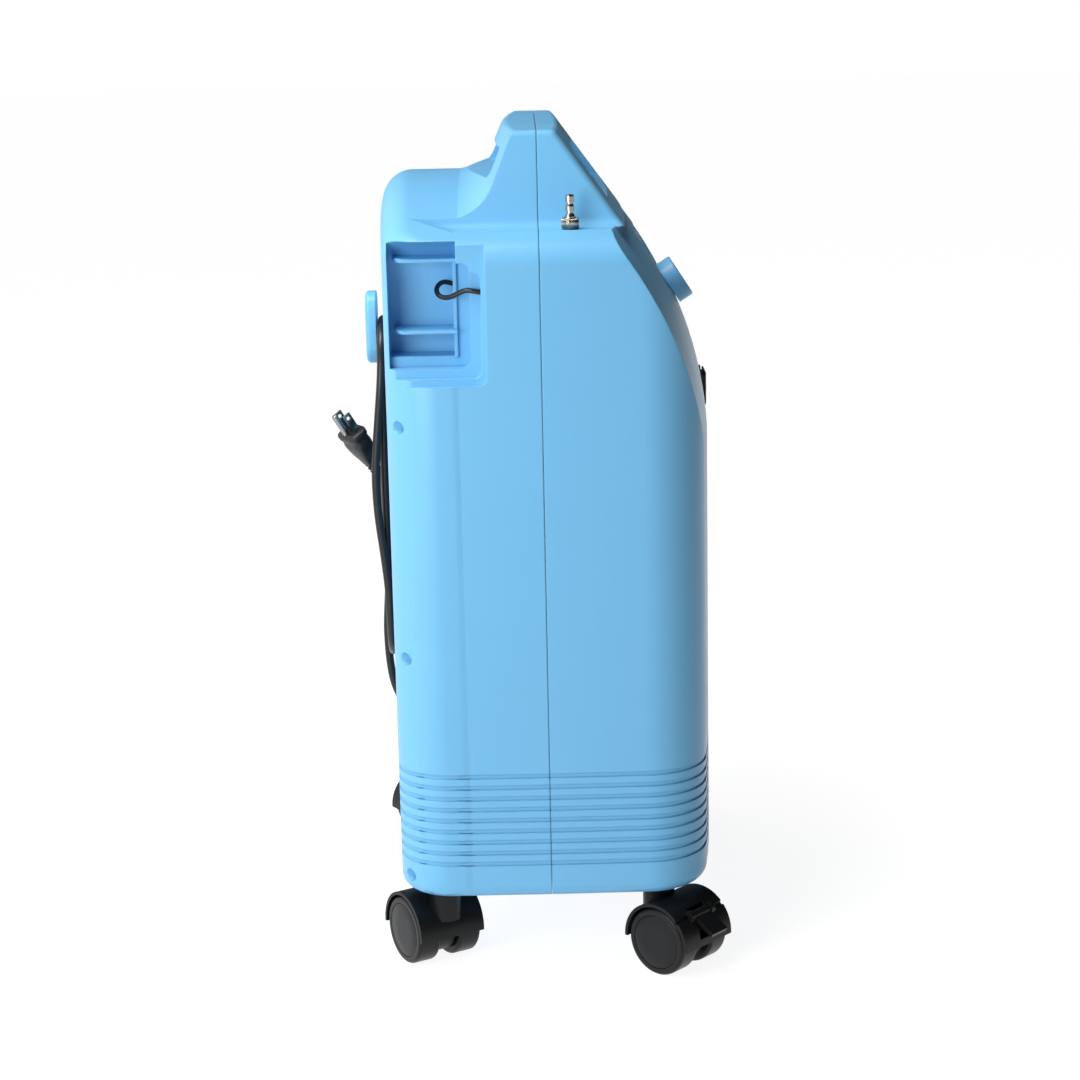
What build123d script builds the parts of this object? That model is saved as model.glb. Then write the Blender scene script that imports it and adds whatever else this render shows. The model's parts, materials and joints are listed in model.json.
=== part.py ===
from build123d import *
import os
from math import cos, degrees, pi, radians, sin, sqrt, tan

# Oxygen concentrator on four twin-wheel casters.
# X runs from the back to the front, Y across the machine, Z up from the floor. Millimetres.
# The casing is laid out from its seam plane (X = 0); the last step centres the model on its
# own bounding box, so that the origin is the middle of its footprint.

# ---- casing, outer form ----
half_width = 175.0            # seam plane to side, at mid depth
end_half_width = 173.0        # the sides draw in a little towards front and back
back_x = -112.6               # back wall on the centre line
front_x = 122.6               # front wall on the centre line
back_crown_radius = 2300.0
front_crown_radius = 1000.0
back_corner_radius = 38.0
front_corner_radius = 45.0
casing_bottom_z = 62.0
bottom_round = 10.0
shoulder_z = 566.0            # crowned shoulder on the centre line
shoulder_crown_radius = 407.0
shoulder_round = 20.0
ledge_z = 536.0               # flat ledge each side of the handle tower
ledge_blend_radius = 8.0
ledge_back_x = -58.0
casing_wall = 3.0
panel_wall = 7.0              # thicker behind the sloping front, which is recessed
roof_depth = 30.0             # shoulder to the roof of the inner space
seam_gap = 0.3

# ---- handle tower and grip hole ----
handle_top_z = 601.5
handle_front_x = 14.8
tower_top_half = 121.0
tower_foot_half = 134.0
tower_back_blend = 34.0
tower_back_foot_x = -62.0
tower_back_lean = 66.0        # slope of the handle back, from horizontal
tower_edge_round = 5.0
grip_half = 95.0
grip_top_z = 588.0
grip_floor_z = 567.5
grip_front_floor_z = 553.0
grip_corner_radius = 9.0
grip_edge_round = 2.5

# ---- sloping front ----
slope_angle = 54.0
slope_blend_radius = 260.0
slope_blend_overrun = 0.5
tower_crown_radius = 2600.0   # the grip's front face is flatter than the wall below it
tower_panel_step = 0.4
fascia_tilt = 57.0            # slope of the recessed fascia, from horizontal
fascia_offset = 341.5         # fascia plane to the origin, along its normal
fascia_half = 68.0
fascia_top = 52.0             # along the slope from the knob axis
fascia_foot = 24.0
fascia_corner = 10.0

# ---- grooves round the foot of the casing ----
groove_count = 9
groove_pitch = 8.15
groove_first_z = 87.3
groove_height = 3.0
groove_depth = 1.0

# ---- accessory pocket in the back corner ----
pocket_back_x = -104.0
pocket_front_x = -37.0
pocket_foot_z = 433.0
pocket_top_z = 535.0
pocket_lip_y = -168.0
outer_step_x = -40.2
outer_step_z = 437.4
outer_step_top_z = 510.0
outer_step_y = -160.0
inner_step_x = -47.7
inner_step_z = 443.6
inner_step_top_z = 516.5
inner_step_y = -148.0
well_x = -56.7
well_foot_z = 451.0
well_top_z = 531.0
well_y = -128.0
well_vault = 30.0
pocket_rib = 2.6
upper_shelf_z = 516.0
lower_shelf_z = 467.0
shelf_setback = 8.0
pocket_corner = 6.0

# ---- screws that hold the casing halves together ----
screw_rows = ((403.5, 160.0), (238.0, 160.0), (76.0, 158.0))   # height, distance from the middle
screw_bore_radius = 4.5
screw_tower_wall = 2.5
screw_web = 3.0
screw_seat_x = -22.0
screw_head_radius = 3.9
screw_head_height = 3.0
screw_shank_radius = 1.9
screw_tip_x = 16.0
screw_boss_end_x = 19.0

# ---- casters ----
caster_x = 78.0
caster_y = 140.0
wheel_radius = 25.0
wheel_width = 18.0
wheel_inner_y = 7.5
wheel_edge_round = 2.6
wheel_dish_radius = 20.0
wheel_dish_depth = 0.9
caster_trail = 18.0
axle_radius = 3.0
axle_clearance = 0.06
axle_end_y = 24.6
web_half = 6.5
web_radius = 20.0
fender_gap = 1.2
fender_wall = 2.4
fender_half = 26.0
neck_radius = 11.5
hood_top_z = 57.0
stem_radius = 5.5
stem_foot_z = 46.0
stem_top_z = 84.0
stem_clearance = 0.1
socket_radius = 9.5
socket_foot_z = 58.0
socket_top_z = 88.0
socket_flange_radius = 10.8
socket_flange_height = 2.5
hole_clearance = 0.2
lever_reach = 28.5            # axle to the lever's pivot
lever_turn = 45.0
lever_half = 8.6
lever_slot_clearance = 0.5
lever_hub_radius = 3.2
lever_stud_radius = 1.5
lever_stud_clearance = 0.08
lever_ear_radius = 4.2
lever_ear_width = 4.0
lever_length = 21.0
lever_thickness = 3.0
lever_droop = 31.0
# trail direction of each caster, in degrees from the front, and whether it has a brake
caster_turns = {
    "back_near": (120.5, False),
    "front_near": (-43.0, True),
    "back_far": (212.0, False),
    "front_far": (43.0, True),
}

# ---- controls and outlet ----
knob_radius = 16.6
knob_height = 11.5
knob_gap = 0.5
valve_shaft_radius = 3.0
shaft_clearance = 0.08
valve_bush_radius = 5.5
valve_body_radius = 12.0
valve_body_depth = 26.0
display_half = 33.0
display_height = 24.0
display_rise = 35.0           # knob axis to display centre, up the slope
display_recess = 0.8
display_wall = 2.0
key_half_width = 7.0
key_height = 10.0
key_spread = 50.0
key_proud = 1.0
key_clearance = 0.35
key_travel = 1.2
key_stem_radius = 2.0
rocker_z = 401.5
rocker_half_width = 12.0
rocker_height = 17.0
rocker_frame_wall = 2.5
rocker_frame_proud = 1.2
rocker_clearance = 0.35
rocker_tilt = 8.0
rocker_depth = 8.0
breaker_y = 42.0
breaker_radius = 5.0
breaker_bezel_radius = 8.5
breaker_travel = 2.0
breaker_proud = 2.5
outlet_x = 21.6
outlet_y = 147.0
nut_across_flats = 12.5
nut_height = 8.0
nipple_radius = 2.3
nipple_barb_radius = 3.0
nipple_top_z = 559.5
nipple_stem_depth = 14.0

# ---- cord hook, gland and filter door on the back ----
hook_tab_back_x = -129.0
hook_tab_thickness = 8.0
hook_tab_foot_z = 424.0
hook_tab_top_z = 478.0
hook_tab_half = 14.0
hook_post_half = 8.5
hook_screw_y = 4.8
hook_post_foot_z = 430.0
hook_post_top_z = 440.0
hook_plate_half = 20.0
hook_pad_depth = 9.0
gland_y = 30.0
gland_bay_half = 17.0
gland_bay_foot_z = 92.0
gland_bay_top_z = 168.0
gland_bay_ramp = 48.0
gland_bay_depth = 17.0
gland_x = -104.5
gland_radius = 6.5
gland_height = 22.0
filter_y = 92.0
filter_z = 290.0
filter_half_width = 44.0
filter_half_height = 56.0
filter_clearance = 0.4
filter_frame = 5.0
filter_depth = 12.0
filter_tray_wall = 2.0
slat_count = 10
slat_gap = 4.0

# ---- power cord ----
cord_radius = 3.1
plug_length = 30.0
plug_half_width = 13.0
plug_half_depth = 8.5
blade_length = 16.0
blade_width = 6.4
blade_thickness = 1.5
blade_spread = 6.35
ground_pin_radius = 2.4
ground_pin_length = 19.0
tether_radius = 1.75

# ---- inside ----
chassis_foot_z = casing_bottom_z + casing_wall
chassis_sheet = 2.5
chassis_half_x = 96.0
chassis_half_y = 156.0
upright_y = 152.0
upright_half_x = 62.0
upright_sheet = 2.0
shelf_z = 252.0
shelf_sheet = 3.0
shelf_half_x = 92.0
mount_radius = 10.0
mount_height = 16.0
compressor_y = -55.0
compressor_pitch_x = 38.0
compressor_pitch_y = 44.0
crankcase_half_x = 50.0
crankcase_half_y = 34.0
crankcase_height = 62.0
motor_radius = 29.0
motor_length = 36.0
head_radius = 27.0
head_height = 46.0
head_fin_count = 5
bed_radius = 31.0
bed_height = 168.0
bed_y = 98.0
bed_x = 36.0
tank_radius = 30.0
tank_height = 170.0
tank_x = 40.0
tank_y = 96.0
fan_half = 60.0
fan_depth = 32.0
fan_bore = 56.0
fan_hub_radius = 19.0
fan_blade_reach = 54.0
fan_blade_count = 7
fan_pin_radius = 3.0
board_half_x = 45.0
board_half_y = 30.0
board_x = -38.0
board_y = 118.0
board_standoff = 8.0
board_sheet = 1.6
manifold_x = -48.0
manifold_y = 44.0
coil_radius = 9.0
coil_count = 4
cooler_ring_radius = 58.2
cooler_tube_radius = 3.5
cooler_turns = 3


def crowned_plan(inset):
    """Plan of the casing, drawn in by the inset all round."""
    side = half_width - inset
    end_side = end_half_width - inset
    back = back_x + inset
    front = front_x - inset
    back_corner = back + end_side ** 2 / (2 * back_crown_radius)
    front_corner = front - end_side ** 2 / (2 * front_crown_radius)
    outline = [
        ThreePointArc((back_corner, -end_side), (0, -side), (front_corner, -end_side)),
        ThreePointArc((front_corner, -end_side), (front, 0), (front_corner, end_side)),
        ThreePointArc((front_corner, end_side), (0, side), (back_corner, end_side)),
        ThreePointArc((back_corner, end_side), (back, 0), (back_corner, -end_side)),
    ]
    plan = make_face(Wire(outline))
    front_corners = [v for v in plan.vertices() if v.X > 60]
    plan = fillet(front_corners, front_corner_radius - inset)
    back_corners = [v for v in plan.vertices() if v.X < back_corner + 1]
    return fillet(back_corners, back_corner_radius - inset)


def under_shoulder(inset):
    """Everything below the crowned shoulder: an arch that runs from back to front."""
    radius = shoulder_crown_radius - inset
    centre_z = shoulder_z - shoulder_crown_radius
    reach = half_width + 30
    edge_z = centre_z + sqrt(radius ** 2 - reach ** 2)
    arch = [
        Line((-reach, 0), (reach, 0)),
        Line((reach, 0), (reach, edge_z)),
        ThreePointArc((reach, edge_z), (0, centre_z + radius), (-reach, edge_z)),
        Line((-reach, edge_z), (-reach, 0)),
    ]
    face = Plane.YZ * make_face(Wire(arch))
    return extrude(face, amount=200, both=True)


def slope_points(inset):
    """Top of the slope, its start of blend and the blend's end at the front wall."""
    run = radians(slope_angle)
    centre_x = front_x + slope_blend_overrun - slope_blend_radius
    # the slope line passes through the handle's front top edge
    nx = sin(run)
    nz = cos(run)
    offset = nx * handle_front_x + nz * handle_top_z
    centre_z = (offset - slope_blend_radius - nx * centre_x) / nz
    radius = slope_blend_radius - inset
    start = (centre_x + radius * nx, centre_z + radius * nz)
    middle_turn = run + (pi / 2 - run) / 2
    middle = (centre_x + radius * sin(middle_turn), centre_z + radius * cos(middle_turn))
    end = (centre_x + radius, centre_z)
    return start, middle, end


def behind_slope(inset, crown_radius, top_z):
    """Everything behind the sloping front, turned about the crown's own upright axis."""
    start, middle, end = slope_points(inset)
    rise = 60.0
    run = radians(slope_angle)
    high = (start[0] - cos(run) * (rise + 110), start[1] + sin(run) * (rise + 110))
    back = -260.0
    outline = [
        Line((back, 20), (end[0], 20)),
        Line((end[0], 20), end),
        ThreePointArc(end, middle, start),
        Line(start, high),
        Line(high, (back, high[1])),
        Line((back, high[1]), (back, 20)),
    ]
    face = Plane.XZ * make_face(Wire(outline))
    crown_axis = Axis((front_x - crown_radius, 0, 0), (0, 0, 1))
    sweep_angle = degrees(2.4 * half_width / crown_radius)
    turned = revolve(face.rotate(crown_axis, -sweep_angle / 2), crown_axis, sweep_angle)
    return turned & Pos(0, 0, top_z / 2) * Box(900, 900, top_z)


def tower_ridge():
    """The neck that carries the grip, swept along the shoulder's arch."""
    top = handle_top_z + 40
    foot = shoulder_z - 30
    run_up = tower_back_blend
    # concave quarter from the shoulder up to the steep back of the handle
    arc_centre = (tower_back_foot_x, shoulder_z + run_up - 0.6)
    low_turn = radians(-84)
    high_turn = radians(tower_back_lean - 90)
    low = (arc_centre[0] + run_up * cos(low_turn), arc_centre[1] + run_up * sin(low_turn))
    mid_turn = (low_turn + high_turn) / 2
    mid = (arc_centre[0] + run_up * cos(mid_turn), arc_centre[1] + run_up * sin(mid_turn))
    high = (arc_centre[0] + run_up * cos(high_turn), arc_centre[1] + run_up * sin(high_turn))
    lean = tan(high_turn + pi / 2)
    top_x = high[0] + (top - high[1]) / lean
    outline = [
        Line((low[0], foot), low),
        ThreePointArc(low, mid, high),
        Line(high, (top_x, top)),
        Line((top_x, top), (90, top)),
        Line((90, top), (90, foot)),
        Line((90, foot), (low[0], foot)),
    ]
    face = Plane.XZ * make_face(Wire(outline))
    arch_axis = Axis((0, 0, shoulder_z - shoulder_crown_radius), (1, 0, 0))
    sweep_angle = 44.0
    return revolve(face.rotate(arch_axis, -sweep_angle / 2), arch_axis, sweep_angle)


def ledge_notch(side):
    """What is cut away beside the tower, above the flat ledge."""
    top = handle_top_z + 60
    lean = (tower_foot_half - tower_top_half) / (handle_top_z - ledge_z)
    wall_top = tower_foot_half - lean * (top - ledge_z)
    outline = Polyline(
        (wall_top, top), (tower_foot_half, ledge_z), (260, ledge_z), (260, top), close=True
    )
    face = make_face(outline)
    inner = face.vertices().sort_by(Axis.Y)[0:2].sort_by(Axis.X)[0]
    face = fillet(inner, ledge_blend_radius)
    if side < 0:
        face = face.mirror(Plane.YZ)
    bar = extrude(Plane.YZ * face, amount=200, both=True)
    run_out = make_face(Polyline(
        (220, ledge_z - 5), (-58, ledge_z - 5), (-58, ledge_z), (-104, ledge_z + 12), (-150, top),
        (220, top), close=True))
    return bar & extrude(Plane.XZ * run_out, amount=260, both=True)


def casing_form():
    body = extrude(Plane.XY.offset(casing_bottom_z) * crowned_plan(0), amount=560)
    body = body & under_shoulder(0)
    body = body.solids()[0] if hasattr(body, "solids") else body
    loop = [e for e in body.edges() if e.center().Z > 500 and abs(e.tangent_at(0.5).Z) < 0.9]
    body = fillet(loop, shoulder_round)
    foot = [e for e in body.edges() if e.center().Z < casing_bottom_z + 0.5]
    body = fillet(foot, bottom_round)
    ridge = tower_ridge() & Pos(0, 0, 450) * Box(400, 2 * tower_foot_half + 8, 2 * (handle_top_z - 450))
    body = body + ridge
    for side in (-1, 1):
        body = body - ledge_notch(side)
    upper = body & behind_slope(-tower_panel_step, tower_crown_radius, 700)
    lower_front = Pos(0, 0, ledge_z - 200) * Box(900, 900, 400) - behind_slope(
        0, front_crown_radius, ledge_z)
    body = upper - lower_front
    rim = [e for e in body.edges() if e.center().Z > handle_top_z - 0.5]
    rim += [
        e for e in body.edges()
        if e.center().X > handle_front_x and e.center().Z > ledge_z + 9
        and tower_top_half - 6 < abs(e.center().Y) < tower_foot_half
        and e.center().Z < handle_top_z - 0.5
    ]
    return fillet(rim, tower_edge_round)



def plan_block(inset, foot_z, top_z):
    return Pos(0, 0, foot_z) * extrude(crowned_plan(inset), amount=top_z - foot_z)


def box_between(x0, x1, y0, y1, z0, z1):
    """A box from its six faces."""
    block = Box(abs(x1 - x0), abs(y1 - y0), abs(z1 - z0))
    return Pos((x0 + x1) / 2, (y0 + y1) / 2, (z0 + z1) / 2) * block


def rod(axis_start, direction, radius, length):
    """A round bar from a point along a direction."""
    plane = Plane(origin=axis_start, z_dir=direction)
    return plane * Cylinder(radius, length, align=(Align.CENTER, Align.CENTER, Align.MIN))


def grooves():
    """The shallow level grooves that run all round the foot."""
    ring = extrude(crowned_plan(-3) - crowned_plan(groove_depth), amount=groove_height)
    return [Pos(0, 0, groove_first_z + i * groove_pitch) * ring for i in range(groove_count)]


def grip_hole():
    """The hand hole through the tower; its floor falls away towards the front."""
    height = grip_top_z - grip_front_floor_z + 8
    mouth = RectangleRounded(2 * grip_half, height, grip_corner_radius)
    bar = extrude(Plane.YZ.offset(0) * Pos(0, grip_top_z - height / 2) * mouth, amount=200, both=True)
    reach = 140
    floor_line = make_face(Polyline(
        (-reach, 660), (-reach, grip_floor_z), (-16, grip_floor_z), (46, grip_front_floor_z),
        (reach, grip_front_floor_z - 18), (reach, 660), close=True))
    return bar & extrude(Plane.XZ * floor_line, amount=300, both=True)


def fascia_plane(rise, out=0.0):
    """The plane of the recessed fascia, at a height up the slope from the knob axis."""
    tilt = radians(fascia_tilt)
    normal = (sin(tilt), 0, cos(tilt))
    up = (-cos(tilt), 0, sin(tilt))
    knob_z = 478.5
    knob_x = (fascia_offset - normal[2] * knob_z) / normal[0]
    origin = (
        knob_x + up[0] * rise + normal[0] * out,
        0,
        knob_z + up[2] * rise + normal[2] * out,
    )
    return Plane(origin=origin, x_dir=(0, 1, 0), z_dir=normal)


def fascia_recess():
    height = fascia_top + fascia_foot
    middle = (fascia_top - fascia_foot) / 2
    outline = RectangleRounded(2 * fascia_half, height, fascia_corner)
    return extrude(fascia_plane(middle) * outline, amount=20)


def inner_space():
    """The room inside the two casing halves."""
    top = shoulder_z
    room = plan_block(casing_wall, chassis_foot_z, top) & under_shoulder(roof_depth)
    return room & behind_slope(panel_wall, front_crown_radius, top)


def pocket_cut():
    """The stepped pocket, opened to the side and the back corner."""
    out_y = -half_width - 20
    top = pocket_top_z
    mouth = box_between(pocket_back_x, pocket_front_x, out_y, pocket_lip_y, pocket_foot_z, top)
    outer = box_between(
        pocket_back_x, outer_step_x, out_y, outer_step_y, outer_step_z, outer_step_top_z)
    inner = box_between(
        pocket_back_x, inner_step_x, out_y, inner_step_y, inner_step_z, inner_step_top_z)
    blocks = []
    for block in (mouth, outer, inner):
        edges = [e for e in block.edges().filter_by(Axis.Y) if e.center().X > pocket_back_x + 1]
        blocks.append(fillet(edges, pocket_corner))
    vault = make_face(Wire([
        Line((out_y, well_foot_z), (well_y, well_foot_z)),
        Line((well_y, well_foot_z), (well_y, well_top_z - well_vault)),
        ThreePointArc(
            (well_y, well_top_z - well_vault),
            (well_y - well_vault * (1 - cos(pi / 4)), well_top_z - well_vault * (1 - sin(pi / 4))),
            (well_y - well_vault, well_top_z)),
        Line((well_y - well_vault, well_top_z), (out_y, well_top_z)),
        Line((out_y, well_top_z), (out_y, well_foot_z)),
    ]))
    well = Plane.YZ.offset(pocket_back_x) * vault
    blocks.append(extrude(well, amount=well_x - pocket_back_x))
    return blocks


def pocket_ribs():
    """Shelves and an upright that stand on the floor of the pocket."""
    wall = box_between(
        well_x - pocket_rib, well_x, inner_step_y - 2, well_y + 1, well_foot_z - 1,
        inner_step_top_z)
    ribs = [wall]
    for z in (upper_shelf_z, lower_shelf_z):
        shelf = box_between(pocket_back_x - 4, well_x, inner_step_y - 6, well_y + 1, z, z + pocket_rib)
        ribs.append(shelf & plan_block(shelf_setback, pocket_foot_z, pocket_top_z))
    return ribs


def screw_line(row, side):
    z, y = row
    return side * y, z


def casing_halves():
    """Back and front halves of the casing, as two shells with their ribs and bosses."""
    form = casing_form()
    for ring in grooves():
        form = form - ring
    form = form - fascia_recess()
    pocket_block = box_between(
        back_x - 30, pocket_front_x + casing_wall, -half_width - 30, well_y + casing_wall,
        pocket_foot_z - casing_wall, pocket_top_z + 30)
    bay_block = gland_bay(casing_wall)
    tray_block = filter_opening(filter_tray_wall + filter_clearance, filter_depth + casing_wall)
    room = inner_space() - pocket_block - bay_block - tray_block
    room = room - hook_pad()
    for row in screw_rows:
        for side in (-1, 1):
            y, z = screw_line(row, side)
            tower_radius = screw_bore_radius + screw_tower_wall
            room = room - rod((back_x, y, z), (1, 0, 0), tower_radius, screw_boss_end_x - back_x)
            room = room - box_between(
                back_x, screw_boss_end_x, y, side * half_width, z - screw_web / 2, z + screw_web / 2)
    form = form - room
    form = form - grip_hole()
    for block in pocket_cut():
        form = form - block
    for rib in pocket_ribs():
        form = form + rib
    form = form - gland_bay(0)
    form = form - filter_opening(0, filter_depth)
    form = form - filter_duct()
    for hole in casing_holes():
        form = form - hole
    far = 400
    back_half = form & box_between(-far, -seam_gap / 2, -far, far, 0, 2 * far)
    front_half = form & box_between(seam_gap / 2, far, -far, far, 0, 2 * far)
    return back_half, front_half


def gland_bay(margin):
    """The recess in the back wall where the power cord comes out upwards."""
    out_x = back_x - 30
    floor_x = back_x + gland_bay_depth + margin
    half = gland_bay_half + margin
    outline = Polyline(
        (out_x, gland_bay_foot_z - margin), (floor_x, gland_bay_foot_z - margin),
        (floor_x, gland_bay_top_z - gland_bay_ramp), (back_x - 1, gland_bay_top_z + 2 * margin),
        (out_x, gland_bay_top_z + 2 * margin), close=True)
    wedge = extrude(Plane.XZ * make_face(outline), amount=half, both=True)
    return Pos(0, gland_y, 0) * wedge


def filter_opening(margin, depth):
    half_y = filter_half_width + margin
    half_z = filter_half_height + margin
    out_x = back_x - 20
    in_x = back_x + depth + 2.0
    return box_between(
        out_x, in_x, filter_y - half_y, filter_y + half_y, filter_z - half_z, filter_z + half_z)


def filter_duct():
    """The window behind the filter, through which air reaches the fan."""
    half_y = filter_half_width - filter_frame
    half_z = filter_half_height - filter_frame
    return box_between(
        back_x, back_x + 40, filter_y - half_y, filter_y + half_y, filter_z - half_z,
        filter_z + half_z)


def hook_pad():
    return box_between(
        back_x, back_x + hook_pad_depth, -hook_plate_half, hook_plate_half,
        hook_post_foot_z - 4, hook_post_top_z + 4)


def casing_holes():
    """Round and square holes that take the screws, sockets, controls and outlet."""
    holes = []
    for row in screw_rows:
        for side in (-1, 1):
            y, z = screw_line(row, side)
            holes.append(rod((back_x - 20, y, z), (1, 0, 0), screw_bore_radius,
                             screw_seat_x - back_x + 20))
            holes.append(rod((screw_seat_x - 1, y, z), (1, 0, 0), screw_shank_radius,
                             screw_tip_x - screw_seat_x + 1))
    for x in (-caster_x, caster_x):
        for y in (-caster_y, caster_y):
            holes.append(rod((x, y, 40), (0, 0, 1), socket_radius + hole_clearance, 60))
    panel = fascia_plane(0)
    inward = -Vector(panel.z_dir)
    holes.append(rod(fascia_plane(0, 5).origin, inward, valve_bush_radius, 60))
    holes.append(display_window_block(0))
    for y in (-key_spread, key_spread):
        holes.append(key_block(y, key_clearance, -30, 10))
    holes.append(rocker_block(0, 30))
    holes.append(rod((front_x + 10, breaker_y, rocker_z), (-1, 0, 0), breaker_bezel_radius - 2, 40))
    nipple_hole_radius = nipple_radius + 1.7
    holes.append(rod((outlet_x, -outlet_y, ledge_z + 5), (0, 0, -1), nipple_hole_radius, 60))
    post_z = (hook_post_foot_z + hook_post_top_z) / 2
    for y in (-hook_screw_y, hook_screw_y):
        holes.append(rod((back_x - 5, y, post_z), (1, 0, 0), screw_shank_radius, 22))
    holes.append(rod((gland_x, gland_y, gland_bay_foot_z + 2), (0, 0, -1), cord_radius + 1, 12))
    holes.append(rod((well_x - pocket_rib - 1, -135.2, 498.8), (1, 0, 0), tether_radius + 1.2, 12))
    holes.append(rod((outer_step_x - 2, -164.0, 496.2), (1, 0, 0), tether_radius + 0.4, 14))
    return holes


def display_window_block(shrink):
    half = display_half - shrink
    height = display_height - 2 * shrink
    return extrude(fascia_plane(display_rise, -20) * Rectangle(2 * half, height), amount=30)


def key_block(y, margin, out0, out1):
    """A key's square section between two depths about the fascia."""
    plate = RectangleRounded(2 * (key_half_width + margin), key_height + 2 * margin, 2.5 + margin)
    return extrude(fascia_plane(display_rise, out0) * Pos(y, 0) * plate, amount=out1 - out0)


def rocker_block(margin, depth):
    half_y = rocker_half_width + rocker_clearance + margin
    half_z = rocker_height / 2 + rocker_clearance + margin
    return box_between(
        front_x - depth, front_x + 10, -half_y, half_y, rocker_z - half_z, rocker_z + half_z)


def casing_screws():
    """Six screws in the towers of the back half, and two that hold the cord hook."""
    screws = []
    for row in screw_rows:
        for side in (-1, 1):
            y, z = screw_line(row, side)
            head = rod((screw_seat_x - screw_head_height, y, z), (1, 0, 0), screw_head_radius,
                       screw_head_height)
            shank = rod((screw_seat_x, y, z), (1, 0, 0), screw_shank_radius,
                        screw_tip_x - screw_seat_x)
            screws.append(head + shank)
    pad_x = back_x + hook_pad_depth
    post_z = (hook_post_foot_z + hook_post_top_z) / 2
    for y in (-hook_screw_y, hook_screw_y):
        head = rod((pad_x, y, post_z), (1, 0, 0), screw_head_radius, screw_head_height)
        shank = rod((pad_x, y, post_z), (-1, 0, 0), screw_shank_radius, hook_pad_depth + 6)
        screws.append(head + shank)
    return Compound(screws)


def caster_sockets():
    """Flanged sleeves that stand through the floor and grip the caster stems."""
    sockets = []
    flange_z = chassis_foot_z + chassis_sheet
    for x in (-caster_x, caster_x):
        for y in (-caster_y, caster_y):
            sleeve = rod((x, y, socket_foot_z), (0, 0, 1), socket_radius,
                         socket_top_z - socket_foot_z)
            flange = rod((x, y, flange_z), (0, 0, 1), socket_flange_radius, socket_flange_height)
            bore = rod((x, y, socket_foot_z - 1), (0, 0, 1), stem_radius + stem_clearance,
                       stem_top_z - socket_foot_z + 2)
            sockets.append(sleeve + flange - bore)
    return Compound(sockets)


def wheel(side):
    """One wheel of the pair: rounded tread and a dished outer face."""
    body = fillet(Cylinder(wheel_radius, wheel_width).edges(), wheel_edge_round)
    dish = Pos(0, 0, wheel_width / 2) * Cylinder(wheel_dish_radius, 2 * wheel_dish_depth)
    body = body - dish - Cylinder(axle_radius + axle_clearance, wheel_width + 2)
    centre_y = side * (wheel_inner_y + wheel_width / 2)
    turn = -90 * side
    return Pos(caster_trail, centre_y, wheel_radius) * Rot(turn, 0, 0) * body


def lever_pivot():
    turn = radians(lever_turn)
    return caster_trail + lever_reach * cos(turn), wheel_radius + lever_reach * sin(turn)


def caster_hood(has_brake):
    """Fender over both wheels, the web between them and the swivel neck."""
    inner = wheel_radius + fender_gap
    outer = inner + fender_wall
    axle_point = (caster_trail, -60, wheel_radius)
    tread_room = rod(axle_point, (0, 1, 0), inner, 120)
    above_axle = box_between(-60, 90, -60, 60, wheel_radius - 1.5, 90)
    fender = rod((caster_trail, -fender_half, wheel_radius), (0, 1, 0), outer, 2 * fender_half)
    fender = (fender - tread_room) & above_axle
    neck = rod((0, 0, 36), (0, 0, 1), neck_radius, hood_top_z - 36) - tread_room
    neck = neck & box_between(-60, 90, -60, 60, wheel_radius + 8, 90)
    web_disc = rod((caster_trail, -web_half, wheel_radius), (0, 1, 0), web_radius, 2 * web_half)
    upper_web = rod((caster_trail, -web_half, wheel_radius), (0, 1, 0), inner + 0.6, 2 * web_half)
    web = web_disc + (upper_web & above_axle)
    spine = box_between(-neck_radius + 2, 8, -web_half, web_half, 36, 50)
    hood = fender + neck + web + spine
    if has_brake:
        px, pz = lever_pivot()
        for side in (-1, 1):
            y0 = side * (lever_half + lever_slot_clearance)
            ear = rod((px, y0, pz), (0, side, 0), lever_ear_radius, lever_ear_width) - tread_room
            hood = hood + ear
        slot_half = lever_half + lever_slot_clearance
        slot = box_between(px - lever_ear_radius - 1, 90, -slot_half, slot_half, wheel_radius + 4, pz + 9)
        slot = slot - rod((caster_trail, -60, wheel_radius), (0, 1, 0), web_radius, 120)
        hood = hood - slot
        stud_radius = lever_stud_radius + lever_stud_clearance
        hood = hood - rod((px, -40, pz), (0, 1, 0), stud_radius, 80)
    hood = hood - rod((0, 0, stem_foot_z), (0, 0, 1), stem_radius, 40)
    return hood - rod((caster_trail, -40, wheel_radius), (0, 1, 0), axle_radius, 80)


def caster_pins():
    """The upright stem and the axle, both held in the hood."""
    stem = rod((0, 0, stem_foot_z), (0, 0, 1), stem_radius, stem_top_z - stem_foot_z)
    stem = chamfer(stem.edges().group_by(Axis.Z)[-1], 1.2)
    axle = rod((caster_trail, -axle_end_y, wheel_radius), (0, 1, 0), axle_radius, 2 * axle_end_y)
    return [stem, axle]


def brake_lever():
    """A pedal that turns on two studs between the ears of the fender."""
    px, pz = lever_pivot()
    hub = rod((px, -lever_half, pz), (0, 1, 0), lever_hub_radius, 2 * lever_half)
    stud_end = lever_half + lever_slot_clearance + lever_ear_width
    studs = rod((px, -stud_end, pz), (0, 1, 0), lever_stud_radius, 2 * stud_end)
    pedal = Pos(lever_length / 2, 0, 0) * Box(lever_length, 2 * lever_half, lever_thickness)
    pedal = Pos(px, 0, pz) * Rot(0, lever_droop, 0) * pedal
    return hub + studs + pedal


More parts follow.
